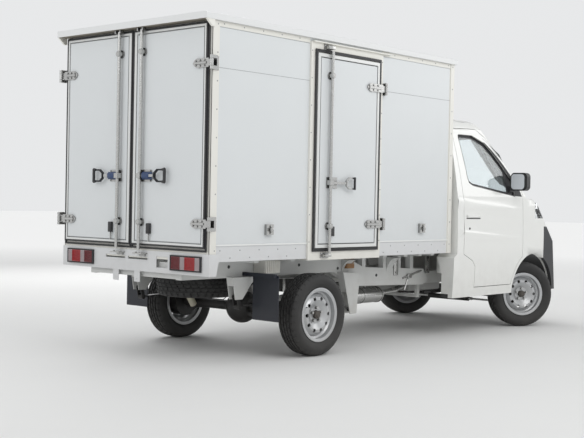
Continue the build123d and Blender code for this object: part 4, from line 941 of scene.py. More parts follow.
def line_between(first, second, share):
    """Line that runs between two lines of equal length."""
    return [tuple(a + (b - a) * share for a, b in zip(p, q)) for p, q in zip(first, second)]


def divided(points, parts):
    """Open line with every stretch cut into equal parts."""
    cut = [line_between(points[:-1], points[1:], i / parts) for i in range(parts)]
    return [point for stretch in zip(*cut) for point in stretch] + points[-1:]


# %% [markdown]
# The door window sits in black rubber. The rubber laps a few millimetres over the door's skin, drops into
# the recess and covers the edge of the pane. At the front it widens to a black corner panel that carries
# the mirror, and a black trim runs up the sloping pillar beside the pane.

# %% Door window surround
SKIN = tree_of("cab_shell", "cab_door_right")
PANE = tree_of("door_glass_right")
# Window edge and the edge of the clear glass, in the same order
WINDOW = [
    (366, 1205), (480, 1219), (697, 1245), (883, 1267), (1040, 1286), (1098, 1310), (1114, 1350), (1139, 1522),
    (1165, 1695), (1161, 1709), (1145, 1714), (1045, 1714.5), (945, 1715), (855, 1687), (765, 1658),
    (657, 1580), (562, 1495), (467, 1410), (372, 1325), (369, 1265),
]
CLEAR_GLASS = [
    (484, 1236), (500, 1238), (697, 1261), (883, 1283), (1036, 1302), (1082, 1322), (1097, 1354), (1122, 1524),
    (1146, 1690), (1143, 1693), (1135, 1694), (1045, 1695), (948, 1693), (862, 1665), (776, 1636), (680, 1565),
    (620, 1515), (566, 1470), (512, 1415), (490, 1330),
]
# Inner and outer edge of the pillar trim, from its top down to the corner panel
PILLAR_IN = [(765, 1662), (657, 1584), (560, 1497), (466, 1413), (372, 1330), (364, 1265), (364, 1203)]
PILLAR_OUT = [(765, 1672), (657, 1604), (550, 1526), (444, 1434), (334, 1334), (272, 1265), (233, 1200)]
# Share of the way from the inner to the outer edge, and how proud the trim stands there
PILLAR_ROWS = [(0.0, 0.0012), (0.25, 0.0020), (0.5, 0.0022), (0.75, 0.0020), (0.95, 0.0018), (1.0, 0.0002)]
lap = [(6, 0.0002), (4.5, 0.0020), (1.0, 0.0015)]
rows = [[on_side(p, SKIN, proud) for p in grown(WINDOW, reach)] for reach, proud in lap]
rows.append([on_side(p, PANE, 0.0010) for p in grown(WINDOW, -2.0)])
rows.append([on_side(p, PANE, 0.0008) for p in CLEAR_GLASS])
inner, outer = divided(PILLAR_IN, 8), divided(PILLAR_OUT, 8)
trim = [[on_side(p, SKIN, proud) for p in line_between(inner, outer, share)] for share, proud in PILLAR_ROWS]
for side_name, side in SIDES.items():
    bm = bmesh.new()
    add_strip(bm, rows, closed=True)
    add_strip(bm, trim)
    name, door = f"window_surround_{side_name}", "cab_door_" + side_name
    finish_piece(name, bm, door, seal_rubber, side=side, face_out=True)

# %% [markdown]
# The grab handle is a soft ridge of the door's own paint. A black strip under it is painted shade of the
# hollow behind it, and a key barrel sits below. The mirror's glass faces backwards in its rounded housing;
# its pale colour is a painted reflection of the sky.

# %% Cab door details
# Places along the handle with their share of its height, then heights across it and how far it stands out
HANDLE_PLACES = [(958, 0.45), (972, 1), (1010, 1), (1060, 1), (1110, 1), (1148, 1), (1162, 0.45)]
HANDLE_ROWS = [(1006, 0.0), (1007, 0.007), (1011, 0.011), (1026, 0.011), (1030, 0.006), (1032, 0.0)]
for side_name, side in SIDES.items():
    door = "cab_door_" + side_name
    bm = bmesh.new()
    rows = [[on_side((y, z), SKIN, proud * share) for y, share in HANDLE_PLACES] for z, proud in HANDLE_ROWS]
    add_strip(bm, rows)
    finish_piece(f"door_handle_{side_name}", bm, door, cab_paint, side=side, face_out=True)
    bm = bmesh.new()
    # A black strip under the handle: painted shade of the hollow behind it.
    add_strip(bm, [[on_side((y, z), SKIN, 0.0008) for y in (950, 1000, 1060, 1120, 1170)] for z in (997, 1008)])
    barrel = on_side((1119, 915), SKIN, 0)
    add_rod(bm, barrel + Vector((0.002, 0, 0)), barrel - Vector((0.003, 0, 0)), 0.010, 20, 0.009)
    add_block(bm, barrel - Vector((0.0036, 0.0012, 0.006)), barrel + Vector((0, 0.0012, 0.006)))
    name = f"door_handle_shade_and_barrel_{side_name}"
    finish_piece(name, bm, door, black_plastic, side=side, face_out=True)
    # The mirror glass's pale colour is a painted reflection of the sky.
    bm = bmesh.new()
    add_block(bm, (-0.9400, -1.3845, 1.2640), (-0.8085, -1.3822, 1.4000))
    across = [e for e in bm.edges if abs((e.verts[0].co - e.verts[1].co).normalized().y) > 0.9]
    bevel_edges(bm, across, 0.030, 6)
    finish_piece(f"mirror_glass_{side_name}", bm, door, mirror_glass, side=side)

# %% [markdown]
# A thin dark gutter marks the joint between the roof skin and the side, above the door. Its rear end is
# measured down from the skin's highest place, found by rays that step downwards until one hits.

# %% Roof gutters
# Distance behind the front axle, and how far the gutter lies under the top of the side
GUTTER_DROP = {1250: 24, 1180: 26, 1084: 28, 973: 32, 900: 36}
GUTTER_FRONT = [(780, 1706), (668, 1640), (560, 1572), (440, 1476), (318, 1366)]
SIDE_LIMIT, SEARCH_TOP, SEARCH_END, SEARCH_STEP = -0.4, 1.88, 1.1, 0.004


def skin_top(y):
    """Highest place on the cab's side at a distance behind the front axle, in millimetres."""
    z = SEARCH_TOP
    while z > SEARCH_END:
        hit = cast(SKIN, Vector((-1.5, FRONT_AXLE + y / 1000, z)), Vector((1, 0, 0)))
        if hit and hit.x < SIDE_LIMIT:
            break
        z -= SEARCH_STEP
    return z * 1000


gutter = [(y, skin_top(y) - drop) for y, drop in GUTTER_DROP.items()] + GUTTER_FRONT
gutter = [place for place in gutter if on_side(place, SKIN, 0).x < SIDE_LIMIT]
print("gutter", [(y, round(z)) for y, z in gutter])
for side_name, side in SIDES.items():
    bm = bmesh.new()
    shifts = ((-3, 0.0008), (0, -0.0006), (3, 0.0008))
    add_strip(bm, [[on_side((y, z + shift), SKIN, proud) for y, z in gutter] for shift, proud in shifts])
    name = f"roof_gutter_{side_name}"
    finish_piece(name, bm, "chassis", sealant, side=side, face_out=True)

# %% [markdown]
# The arch over a front wheel is lined with black plastic, while the body's skin ends at the arch edge. Both
# belong to one solid, so the finish decides by place: what lies inside the wheel's cylinder and a little
# inside the skin turns black. The same nodes could split any solid whose two finishes meet at a clear limit.

# %% Black linings by place


def place_parts(tree):
    """Sockets with the X, Y and Z of the shaded point."""
    split = add_node(tree, "SeparateXYZ")
    tree.links.new(add_node(tree, "TexCoord").outputs["Object"], split.inputs["Vector"])
    return [split.outputs[letter] for letter in "XYZ"]


def darken_where(material, mask, colour, rough):
    """Mix a second colour and roughness in where a mask socket is one."""
    tree = material.node_tree
    shader = tree.nodes["Principled BSDF"]
    tone = add_node(tree, "Mix", {"B": (*colour, 1)}, data_type="RGBA")
    gloss = add_node(tree, "Mix", {"B": rough})
    for mix, socket in ((tone, shader.inputs["Base Color"]), (gloss, shader.inputs["Roughness"])):
        tree.links.new(mask, mix.inputs["Factor"])
        tree.links.new(socket.links[0].from_socket, mix.inputs["A"])
        tree.links.new(mix.outputs["Result"], socket)


ARCH_REACH, ARCH_INSIDE, ARCH_Y, ARCH_Z, SILL_Z = 0.388, 0.758, -1.810, 0.300, 0.362
tree = cab_paint.node_tree
x, y, z = place_parts(tree)
back = math_node(tree, "SUBTRACT", y, ARCH_Y)
above = math_node(tree, "SUBTRACT", z, ARCH_Z)
squares = [math_node(tree, "MULTIPLY", part, part) for part in (back, above)]
near_wheel = math_node(tree, "LESS_THAN", math_node(tree, "ADD", *squares), ARCH_REACH**2)
under_sill = math_node(tree, "LESS_THAN", z, SILL_Z)
inside = math_node(tree, "LESS_THAN", math_node(tree, "ABSOLUTE", x), ARCH_INSIDE)
lining = math_node(tree, "MULTIPLY", math_node(tree, "MAXIMUM", near_wheel, under_sill), inside)
darken_where(cab_paint, lining, (0.018, 0.018, 0.019), 0.6)
print("arch linings within", ARCH_REACH, "m of the wheel's middle")

# %% [markdown]
# Two pressed lines run along the cab's side and fade towards the front. Displacement would need a dense
# mesh, so the press is a height for each place of the side: full on the line, falling to nothing at its
# borders. A plane can cut new edges into the side's faces wherever that height changes its slope.

# %% Shape of the pressed lines
# Height at the front axle, rise per metre backwards, half width above and below, height of the ridge
CREASES = [(1.0614, 0.0696, 0.030, 0.085, 0.0065), (0.7970, 0.0745, 0.022, 0.060, 0.0050)]
PRESS_START, PRESS_FULL, PRESS_END, CUT_PITCH = -1.66, -1.15, -0.53, 0.12
SKIN_X, SKIN_DEPTH = 0.6, 0.002


def press_height(y, z):
    """How far the press pushes the skin out at a place of the side."""
    along = min(1.0, max(0.0, (y - PRESS_START) / (PRESS_FULL - PRESS_START)))
    total = 0.0
    for base, rise, above, below, height in CREASES:
        away = z - (base + rise * (y - FRONT_AXLE))
        total += height * along * max(0.0, 1 - (away / above if away > 0 else -away / below))
    return total


def cut_side(bm, place, normal, low=-1.0, high=9.0):
    """New edges where a plane crosses the side's faces between two heights."""
    faces = []
    for face in bm.faces:
        middle = face.calc_center_median()
        if abs(middle.x) > SKIN_X and abs(face.normal.x) > 0.5 and low < middle.z < high:
            faces.append(face)
    near = list({e for face in faces for e in face.edges} | {v for face in faces for v in face.verts})
    bmesh.ops.bisect_plane(bm, geom=near + faces, plane_co=place, plane_no=normal)


# %% [markdown]
# The lines cross the shell and both doors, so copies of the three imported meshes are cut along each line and
# across it, and their points move out by the press's height. Only points of the outer skin move, and the
# gaps between the panels stay even.

# %% Pressed shell and doors
PRESSED = {"cab_shell": "chassis", "cab_door_right": "cab_door_right", "cab_door_left": "cab_door_left"}
for node, body in PRESSED.items():
    bm = bmesh.new()
    bm.from_mesh(frame["nodes"][node].data)
    for base, rise, above, below, _ in CREASES:
        for shift in (above, 0.0, -below):
            cut_side(bm, (0, 0, base + shift - rise * FRONT_AXLE), Vector((0, -rise, 1)).normalized())
    for y in steps(PRESS_START, PRESS_END, CUT_PITCH):
        cut_side(bm, (0, y, 0), (0, 1, 0), 0.6, 1.3)
    moved = 0
    for vert in bm.verts:
        rise = press_height(vert.co.y, vert.co.z)
        if rise < 1e-5 or abs(vert.co.x) < SKIN_X:
            continue
        skin = cast(SKIN, Vector((-1.5, vert.co.y, vert.co.z)), Vector((1, 0, 0)))
        if skin and abs(abs(vert.co.x) - abs(skin.x)) < SKIN_DEPTH:
            vert.co.x += math.copysign(rise, vert.co.x)
            moved += 1
    finish_piece(f"{node}_pressed", bm, body, cab_paint, [node], smooth=25)
    print(node, "points pressed", moved)

# %% [markdown]
# The handle loops of the locks are dipped in black, while rods, plates and guides stay plated. One solid
# again, so a box in rest coordinates tells the loop from the rest.

# %% Black loops of the lock handles


def in_box(tree, limits):
    """One where every socket lies between its two limits."""
    mask = 1.0
    for socket, low, high in limits:
        mask = math_node(tree, "MULTIPLY", mask, math_node(tree, "GREATER_THAN", socket, low))
        mask = math_node(tree, "MULTIPLY", mask, math_node(tree, "LESS_THAN", socket, high))
    return mask


lock_steel = zinc.copy()
lock_steel.name = "lock_steel"
tree = lock_steel.node_tree
x, y, z = place_parts(tree)
rear_loop = in_box(tree, [(math_node(tree, "ABSOLUTE", x), 0.262, 0.395), (y, 2.34, 2.46), (z, 1.21, 1.34)])
side_loop = in_box(tree, [(x, -0.90, -0.78), (y, 0.870, 0.925), (z, 1.19, 1.33)])
darken_where(lock_steel, math_node(tree, "MAXIMUM", rear_loop, side_loop), (0.030, 0.031, 0.034), 0.35)
for node in ("rear_lock_right", "rear_lock_left", "side_lock"):
    frame["nodes"][node].data.materials[0] = lock_steel
    print(node, "has black loops")

# %% [markdown]
# Each headlamp has two chrome bowls behind its clear cover, a large and a smaller one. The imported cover
# stays; the bowls are laid a little behind it, where rays from the front find its skin.

# %% Headlamp bowls
LAMP_SKIN = tree_of("headlamps")
BEHIND_COVER = 0.010
for side_name, side in SIDES.items():
    bm = bmesh.new()
    for x, z, radius in ((-0.560, 1.005, 0.046), (-0.655, 1.030, 0.036)):
        start = on_front(x, z, LAMP_SKIN, -BEHIND_COVER)
        add_rod(bm, start, start + Vector((0, 0.026, 0)), radius, 32, radius * 0.55)
        bulb, tip = start + Vector((0, 0.002, 0)), start + Vector((0, 0.012, 0))
        add_rod(bm, bulb, tip, radius * 0.28, 20, radius * 0.22)
    finish_piece(f"headlamp_bowls_{side_name}", bm, "chassis", chrome, side=side)

# %% [markdown]
# Under the box's sides the frame carries folded fins, and round plugs close the holes of its rails. A fin
# is a sheet that curves in one direction only, so two strips of faces give it without any bending.

# %% Fins and plugs of the frame
RAIL_X, FIN_REACH, FIN_STEPS, SHEET = -0.480, 0.110, 8, 0.003
# From, to, lower end, upper end
FINS = ((1.350, 1.446, 0.572, 0.687), (0.526, 0.613, 0.549, 0.673), (-0.060, 0.020, 0.545, 0.673))
PLUGS = ((1.863, 0.652), (1.521, 0.650), (1.117, 0.643), (0.657, 0.603), (0.157, 0.530))


def add_fin(bm, y0, y1, low, high):
    """Folded gusset under the box side: a sheet that curves out from the rail to the floor's edge."""
    points = []
    for i in range(FIN_STEPS + 1):
        angle = math.pi / 2 * i / FIN_STEPS
        points.append((RAIL_X - FIN_REACH * (1 - math.cos(angle)), low + (high - low) * math.sin(angle)))
    add_strip(bm, [[(x, y, z) for x, z in points] for y in (y0, y1)])
    add_strip(bm, [[(x + SHEET, y, z + 0.002) for x, z in points] for y in (y0, y1)])
    for y in (y0, (y0 + y1) / 2, y1):
        bm.faces.new([bm.verts.new((x, y, z)) for x, z in points] + [bm.verts.new((RAIL_X, y, high))])


for side_name, side in SIDES.items():
    bm = bmesh.new()
    for fin in FINS:
        add_fin(bm, *fin)
    name = f"frame_fins_{side_name}"
    finish_piece(name, bm, "chassis", chassis_paint, side=side, face_out=True)
    bm = bmesh.new()
    for y, z in PLUGS:
        add_rod(bm, (RAIL_X + 0.001, y, z), (RAIL_X - 0.003, y, z), 0.013, 20, 0.011)
    finish_piece(f"rail_plugs_{side_name}", bm, "chassis", black_plastic, side=side)

# %% [markdown]
# A ribbed filler block sits over each spring, and two wooden planks bolted on one another fill the gap
# further forward. Blocks with rods or bolt heads on them are all that shows.

# %% Filler blocks
for side_name, side in SIDES.items():
    bm = bmesh.new()
    add_block(bm, (-0.592, 1.450, 0.602), (-0.482, 1.613, 0.694), 0.004)
    for y in steps(1.462, 1.601, 0.020):
        add_rod(bm, (-0.592, y, 0.604), (-0.592, y, 0.690), 0.007, 10)
    finish_piece(f"filler_block_{side_name}", bm, "chassis", box_trim, side=side)
    bm = bmesh.new()
    add_block(bm, (-0.520, 0.497, 0.600), (-0.482, 0.590, 0.639), 0.004)
    add_block(bm, (-0.517, 0.499, 0.641), (-0.482, 0.588, 0.680), 0.004)
    for y in (0.517, 0.570):
        for z in (0.620, 0.660):
            add_bolt(bm, (-0.518, y, z), OUT["right"], 0.005, 0.003)
    finish_piece(f"wood_filler_{side_name}", bm, "chassis", wood, side=side)

# %% [markdown]
# A pipe or spring is a circle swept along points. The rings are built from the direction at each point,
# which gives hoses, brake lines and coil springs with one helper.

# %% Pipes and coils


def add_pipe(bm, points, radius, sides=8):
    """Round section swept along a line of points."""
    points = [Vector(p) for p in points]
    rings = []
    for i, point in enumerate(points):
        run = (points[min(i + 1, len(points) - 1)] - points[max(i - 1, 0)]).normalized()
        first = run.cross(Vector((0.13, 0.2, 1.0))).normalized()
        second = run.cross(first)
        angles = [2 * math.pi * k / sides for k in range(sides)]
        ring = [point + radius * (math.cos(angle) * first + math.sin(angle) * second) for angle in angles]
        rings.append([bm.verts.new(place) for place in ring])
    for low, high in zip(rings, rings[1:]):
        for k in range(sides):
            bm.faces.new((low[k], low[(k + 1) % sides], high[(k + 1) % sides], high[k]))
    bm.faces.new(list(reversed(rings[0])))
    bm.faces.new(rings[-1])


def coil(centre, radius, low, high, turns, per_turn=20):
    """Points of an upright coil spring."""
    points = []
    for i in range(turns * per_turn + 1):
        angle = 2 * math.pi * i / per_turn
        height = low + (high - low) * i / (turns * per_turn)
        points.append((centre[0] + radius * math.cos(angle), centre[1] + radius * math.sin(angle), height))
    return points


# %% [markdown]
# The front struts carry coils, the rear shock absorbers a cream tube, and brake lines run over the axle and
# along the rails.

# %% Springs, tubes and brake lines
STRUT_X, AXLE_Y = -0.574, 1.225
# Radius and points of each line
BRAKE_LINES = [
    (0.0032, [(-0.62, 1.255, 0.345), (-0.40, 1.272, 0.342), (-0.16, 1.272, 0.344), (-0.06, 1.245, 0.430)]),
    (0.0055, [(-0.06, 1.245, 0.430), (-0.10, 1.195, 0.50), (-0.20, 1.125, 0.57), (-0.41, 1.025, 0.640)]),
    (0.0035, [(-0.415, 1.10, 0.655), (-0.415, 0.60, 0.640), (-0.415, 0.36, 0.560), (-0.415, 0.05, 0.520)]),
]
SHOCK_LOW, SHOCK_HIGH = Vector((-0.430, AXLE_Y + 0.095, 0.270)), Vector((-0.400, AXLE_Y + 0.330, 0.590))
for side_name, side in SIDES.items():
    bm = bmesh.new()
    add_pipe(bm, coil((STRUT_X, FRONT_AXLE), 0.030, 0.572, 0.652, 4), 0.0045)
    finish_piece(f"front_spring_{side_name}", bm, "chassis", black_paint, side=side)
    bm = bmesh.new()
    foot, shoulder, top = [SHOCK_LOW.lerp(SHOCK_HIGH, share) for share in (0.06, 0.49, 0.52)]
    add_rod(bm, foot, shoulder, 0.0272, 24)
    add_rod(bm, shoulder, top, 0.0272, 24, 0.020)
    finish_piece(f"shock_tube_{side_name}", bm, "chassis", cream_paint, side=side)
    bm = bmesh.new()
    for radius, line in BRAKE_LINES:
        add_pipe(bm, line, radius)
    finish_piece(f"brake_lines_{side_name}", bm, "chassis", black_paint, side=side)

# %% [markdown]
# On the right rail sit the clamp of the spare wheel's winch and two bolted brackets. Straps hold the fuel
# tank, and the silencer has rolled seams at its ends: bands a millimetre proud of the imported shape.

# %% Clamp, brackets, straps and seams
bm = bmesh.new()
add_rod(bm, (-0.483, -0.205, 0.491), (-0.483, -0.469, 0.545), 0.0090, 12)
add_rod(bm, (-0.483, -0.290, 0.508), (-0.483, -0.232, 0.392), 0.0080, 12)
add_block(bm, (-0.500, -0.320, 0.490), (-0.481, -0.262, 0.526), 0.004)
add_bolt(bm, (-0.500, -0.291, 0.508), OUT["right"], 0.009, 0.007)
finish_piece("spare_winch_clamp", bm, "chassis", zinc)
bm = bmesh.new()
for y in (-0.105, -0.560):
    add_block(bm, (-0.4875, y - 0.030, 0.520), (-0.481, y + 0.030, 0.668), 0.002)
    for z in (0.545, 0.640):
        add_bolt(bm, (-0.4875, y, z), OUT["right"], 0.008)
finish_piece("rail_brackets", bm, "chassis", zinc)
bm = bmesh.new()
for y in (-0.125, 0.195):
    add_frame(bm, (0.4935, y - 0.016, 0.3285), (0.7015, y + 0.016, 0.5615), 0.0032, 1)
finish_piece("tank_straps", bm, "chassis", zinc)
bm = bmesh.new()
add_rod(bm, (0.575, 0.270, 0.561), (0.575, 0.270, 0.569), 0.040, 24)
hose = [(0.640, 0.320, 0.500), (0.660, 0.425, 0.52), (0.690, 0.505, 0.590), (0.700, 0.525, 0.690)]
add_pipe(bm, hose, 0.019, 14)
finish_piece("tank_filler", bm, "chassis", black_plastic)
SILENCER_Z, SILENCER_FLAT = 0.350, 0.81
bm = bmesh.new()
for y in (-0.073, 0.165, 0.403):
    start, end = (-0.300, y - 0.006, SILENCER_Z), (-0.300, y + 0.006, SILENCER_Z)
    for vert in add_rod(bm, start, end, 0.0825, 40):
        vert.co.z = SILENCER_Z + (vert.co.z - SILENCER_Z) * SILENCER_FLAT
finish_piece("silencer_seams", bm, "chassis", zinc)

# %% [markdown]
# The spare hangs flat under the load bed. It uses the same cut tread as the road wheels, turned so that
# its axis stands upright, on a plain steel rim with a hanger plate.

# %% Spare wheel
SPARE_AT = Vector((0, 1.705, 0.500))
# Closed sections of the rim as (x, radius)
BARREL = [
    (0.0735, 0.193), (0.0735, 0.197), (0.0665, 0.195), (0.0665, 0.178), (0.038, 0.160), (-0.022, 0.158),
    (-0.0665, 0.178), (-0.0665, 0.195), (-0.0735, 0.197), (-0.0735, 0.191), (-0.060, 0.174), (-0.020, 0.154),
    (0.036, 0.156), (0.060, 0.174),
]
DISC = [
    (-0.034, 0.032), (-0.034, 0.062), (-0.046, 0.084), (-0.058, 0.108), (-0.056, 0.128), (-0.034, 0.154),
    (-0.028, 0.154), (-0.050, 0.124), (-0.051, 0.108), (-0.040, 0.084), (-0.028, 0.064), (-0.028, 0.032),
]
lie_flat = Matrix.Translation(SPARE_AT) @ Matrix.Rotation(math.radians(90), 4, "Y")
bm = bmesh.new()
cut_tread(bm, add_turned(bm, tyre_profile(), Matrix.Identity(4), TREAD_STEPS))
bmesh.ops.transform(bm, matrix=lie_flat, verts=bm.verts)
finish_piece("spare_tyre", bm, "chassis", tyre_rubber, ["spare_wheel"], smooth=32)
bm = bmesh.new()
for profile in (BARREL, DISC):
    add_turned(bm, profile, lie_flat, 48)
for low, high, radius, sides in ((0.018, 0.028, 0.048, 32), (0.028, 0.100, 0.012, 16)):
    add_rod(bm, SPARE_AT + Vector((0, 0, low)), SPARE_AT + Vector((0, 0, high)), radius, sides)
finish_piece("spare_rim", bm, "chassis", black_paint)

# %% [markdown]
# The seats are foam under a woven cover. A fine wave laid over the finish's own grain gives the weave, and
# a little sheen the nap of cloth.

# %% Seat fabric
fabric = surface("seat_fabric", (0.085, 0.088, 0.095), 0.85, drift=0.10, drift_scale=9, grain=900, lift=0.25)
tree = fabric.node_tree
shader = tree.nodes["Principled BSDF"]
shader.inputs["Sheen Weight"].default_value = 0.3
weave = add_node(tree, "TexWave", {"Scale": 160, "Distortion": 1.5})
weave_bump = add_node(tree, "Bump", {"Strength": 0.35, "Distance": 0.001})
tree.links.new(add_node(tree, "TexCoord").outputs["Object"], weave.inputs["Vector"])
tree.links.new(weave.outputs["Fac"], weave_bump.inputs["Height"])
tree.links.new(shader.inputs["Normal"].links[0].from_socket, weave_bump.inputs["Normal"])
tree.links.new(weave_bump.outputs["Normal"], shader.inputs["Normal"])
print("fabric weave at scale", weave.inputs["Scale"].default_value)

# %% [markdown]
# A pad could be inflated by a cloth simulation. Here it starts as a finely divided block: a pillow curve
# rounds its edges, the face is domed, and seams are pressed in along and across it, as a sewn cover pulls
# into the foam. That is quicker, and every seam lies where the drawing puts it.

# %% Seat pads
PULL, DOME, SEAM_DEPTH, SEAM_HALF = 0.030, -0.010, 0.007, 0.05
CROSS_SEAMS = (-0.45, 0.1, 0.62)


def seam_depth(a, b, panels):
    """One in the middle of a seam and nothing beside it, for a place on the pad's face."""
    depth = 0.0
    for i in range(panels):
        centre = -1 + 2 * (i + 0.5) / panels
        for offset in (-0.55 / panels, 0.55 / panels):
            depth = max(depth, 1 - abs(a - centre - offset) / SEAM_HALF)
    return max([depth] + [0.7 * (1 - abs(b - line) / SEAM_HALF) for line in CROSS_SEAMS])


def add_pad(bm, low, high, face_axis, lean=0.0, panels=1):
    """Cushion between two corners; its face looks along face_axis, lean shifts its top backwards."""
    low, high = Vector(low), Vector(high)
    middle, half = (low + high) / 2, (high - low) / 2
    pad = bmesh.new()
    bmesh.ops.create_cube(pad, size=2.0)
    bmesh.ops.subdivide_edges(pad, edges=pad.edges, cuts=15, use_grid_fill=True)
    side_axes = [axis for axis in (0, 1, 2) if axis != face_axis]
    for vert in pad.verts:
        u = vert.co.copy()
        # Pillow: pull the corners in so that edges turn over with a soft radius
        for axis in (0, 1, 2):
            edge = max(abs(u[other]) for other in (0, 1, 2) if other != axis)
            pull = PULL / half[axis] * max(0.0, (edge - 0.80) / 0.20) ** 2
            vert.co[axis] = u[axis] * (1 - min(0.5, pull))
        if abs(u[face_axis]) > 0.99:
            a, b = u[side_axes[0]], u[side_axes[1]]
            rise = DOME * (1 - (1 - a**2) * (1 - b**2)) - SEAM_DEPTH * seam_depth(a, b, panels)
            vert.co[face_axis] += u[face_axis] * rise / half[face_axis]
        spot = Vector((middle[i] + vert.co[i] * half[i] for i in range(3)))
        spot.y += lean * (spot.z - low.z)
        vert.co = spot
    pad_mesh = bpy.data.meshes.new("pad")
    pad.to_mesh(pad_mesh)
    pad.free()
    bm.from_mesh(pad_mesh)
    bpy.data.meshes.remove(pad_mesh)


# %% [markdown]
# The driver has a seat of their own on the left, and a bench for two fills the rest of the cab. Cushions,
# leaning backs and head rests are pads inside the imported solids, and one subdivision smooths them.

# %% Seats
# From, to, number of places
SEATS = [(0.150, 0.600, 1), (-0.600, 0.090, 2)]
HEAD_HALF, STEM_SHIFTS = 0.122, (-0.045, 0.045)
seat_low, seat_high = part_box("seats")
print("seats span", seat_low, seat_high)
bm = bmesh.new()
for x0, x1, places in SEATS:
    left, right = x0 + 0.002, x1 - 0.002
    front, back = FRONT_AXLE + 0.642, FRONT_AXLE + 1.066
    add_pad(bm, (left, front, seat_low.z + 0.001), (right, back, 0.899), 2, panels=places)
    front, back = FRONT_AXLE + 1.072, FRONT_AXLE + 1.166
    add_pad(bm, (left, front, 0.884), (right, back, 1.478), 1, lean=0.110, panels=places)
    for place in range(places):
        centre = x0 + (x1 - x0) * (place + 0.5) / places
        front, back = FRONT_AXLE + 1.162, FRONT_AXLE + 1.240
        add_pad(bm, (centre - HEAD_HALF, front, 1.492), (centre + HEAD_HALF, back, 1.648), 1)
        for x in (centre + shift for shift in STEM_SHIFTS):
            add_rod(bm, (x, FRONT_AXLE + 1.200, 1.440), (x, FRONT_AXLE + 1.200, 1.510), 0.006, 12)
seats = finish_piece("seat_pads", bm, "chassis", fabric, ["seats"], smooth=0)
seats.data.shade_smooth()
soften = seats.modifiers.new("soften", "SUBSURF")
soften.levels = 1
soften.render_levels = 1

# %% [markdown]
# Behind the steering wheel sit two round dials under the hood. The dashboard has four vents with slats, a
# blank panel for a radio with two knobs, and a glove box line. The gear lever rises from the floor.

# %% Dashboard details
DASH_SKIN = tree_of("dashboard")
VENT_Z, PANEL_Z = 1.045, 0.955


def dash_face(x, z, otherwise):
    """How far back the dashboard's face reaches at a place."""
    return cast(DASH_SKIN, Vector((x, 0.0, z)), Vector((0, -1, 0)), Vector((x, otherwise, z))).y


bm = bmesh.new()
for x in (-0.60, -0.10, 0.12, 0.60):
    face = dash_face(x, VENT_Z, -1.375)
    add_frame(bm, (x - 0.055, face - 0.004, 1.015), (x + 0.055, face + 0.006, 1.075), 0.008, 1)
    for z in steps(1.026, 1.064, 0.0095):
        add_block(bm, (x - 0.048, face - 0.003, z - 0.002), (x + 0.048, face + 0.003, z + 0.002), 0.0008, 1)
face = dash_face(0.01, PANEL_Z, -1.385)
add_block(bm, (-0.095, face - 0.004, 0.925), (0.115, face + 0.005, 0.985), 0.003)
for x in (-0.070, 0.090):
    add_rod(bm, (x, face + 0.004, PANEL_Z), (x, face + 0.018, PANEL_Z), 0.012, 20, 0.010)
add_frame(bm, (-0.62, face - 0.010, 0.860), (-0.20, face + 0.002, 0.960), 0.004, 1)
for x in (0.315, 0.425):
    add_rod(bm, (x, FRONT_AXLE + 0.418, 1.118), (x, FRONT_AXLE + 0.426, 1.114), 0.040, 32)
lever_foot = FRONT_AXLE + 0.620
add_rod(bm, (0.105, lever_foot, 0.790), (0.120, lever_foot - 0.020, 1.000), 0.008, 12)
add_rod(bm, (0.105, lever_foot, 0.785), (0.107, lever_foot - 0.002, 0.850), 0.045, 20, 0.014)
ball = bmesh.ops.create_uvsphere(bm, u_segments=20, v_segments=12, radius=0.024)["verts"]
bmesh.ops.translate(bm, vec=(0.1205, lever_foot - 0.021, 1.010), verts=ball)
finish_piece("dash_details", bm, "chassis", black_plastic)

# %% [markdown]
# The doors are lined inside with a moulded card that carries an arm rest and a window winder. Rays sent
# outwards from the middle of the cab find the door's inner face, and the card follows it.

# %% Door cards
DOOR_METAL = tree_of("cab_door_right")
# Distance behind the front axle, and the share of the card's thickness there
CARD_PLACES = [
    (500, 0.2), (520, 1), (600, 1), (700, 1), (800, 1), (900, 1), (1000, 1), (1060, 1), (1075, 0.2),
]
# Height, and how far the card stands off the metal there
CARD_ROWS = [
    (640, 0.000), (650, 0.006), (760, 0.008), (860, 0.008), (900, 0.014), (985, 0.014), (1020, 0.008),
    (1120, 0.008), (1165, 0.006), (1175, 0.000),
]


def on_lining(y, z, thick):
    """Point on the right door's inner face, in the drawing of the side."""
    y, z = FRONT_AXLE + y / 1000, z / 1000
    hit = cast(DOOR_METAL, Vector((-0.3, y, z)), Vector((-1, 0, 0)), Vector((-0.70, y, z)))
    return Vector((hit.x + thick, y, z))


for side_name, side in SIDES.items():
    bm = bmesh.new()
    add_strip(bm, [[on_lining(y, z, thick * share) for y, share in CARD_PLACES] for z, thick in CARD_ROWS])
    bmesh.ops.recalc_face_normals(bm, faces=bm.faces)
    start, end = on_lining(640, 940, 0), on_lining(980, 960, 0)
    inner_x = max(start.x, end.x)
    add_block(bm, (inner_x, start.y, 0.925), (inner_x + 0.045, end.y, 0.965), 0.012, 3)
    knob = on_lining(600, 830, 0.010)
    arm_end = Vector((0, 0.010, -0.085))
    add_rod(bm, knob, knob + Vector((0.020, 0, 0)), 0.020, 24, 0.016)
    add_rod(bm, knob + Vector((0.018, 0, 0)), knob + Vector((0.024, 0, 0)) + arm_end, 0.006, 12)
    add_rod(bm, knob + Vector((0.020, 0, 0)) + arm_end, knob + Vector((0.045, 0, 0)) + arm_end, 0.009, 16)
    door = "cab_door_" + side_name
    finish_piece(f"door_card_{side_name}", bm, door, dash_plastic, side=side)

# %% [markdown]
# At the front, two wiper arms with their blades rest on the windscreen's foot, and a black border runs
# round the glass, where a real screen hides its glue.

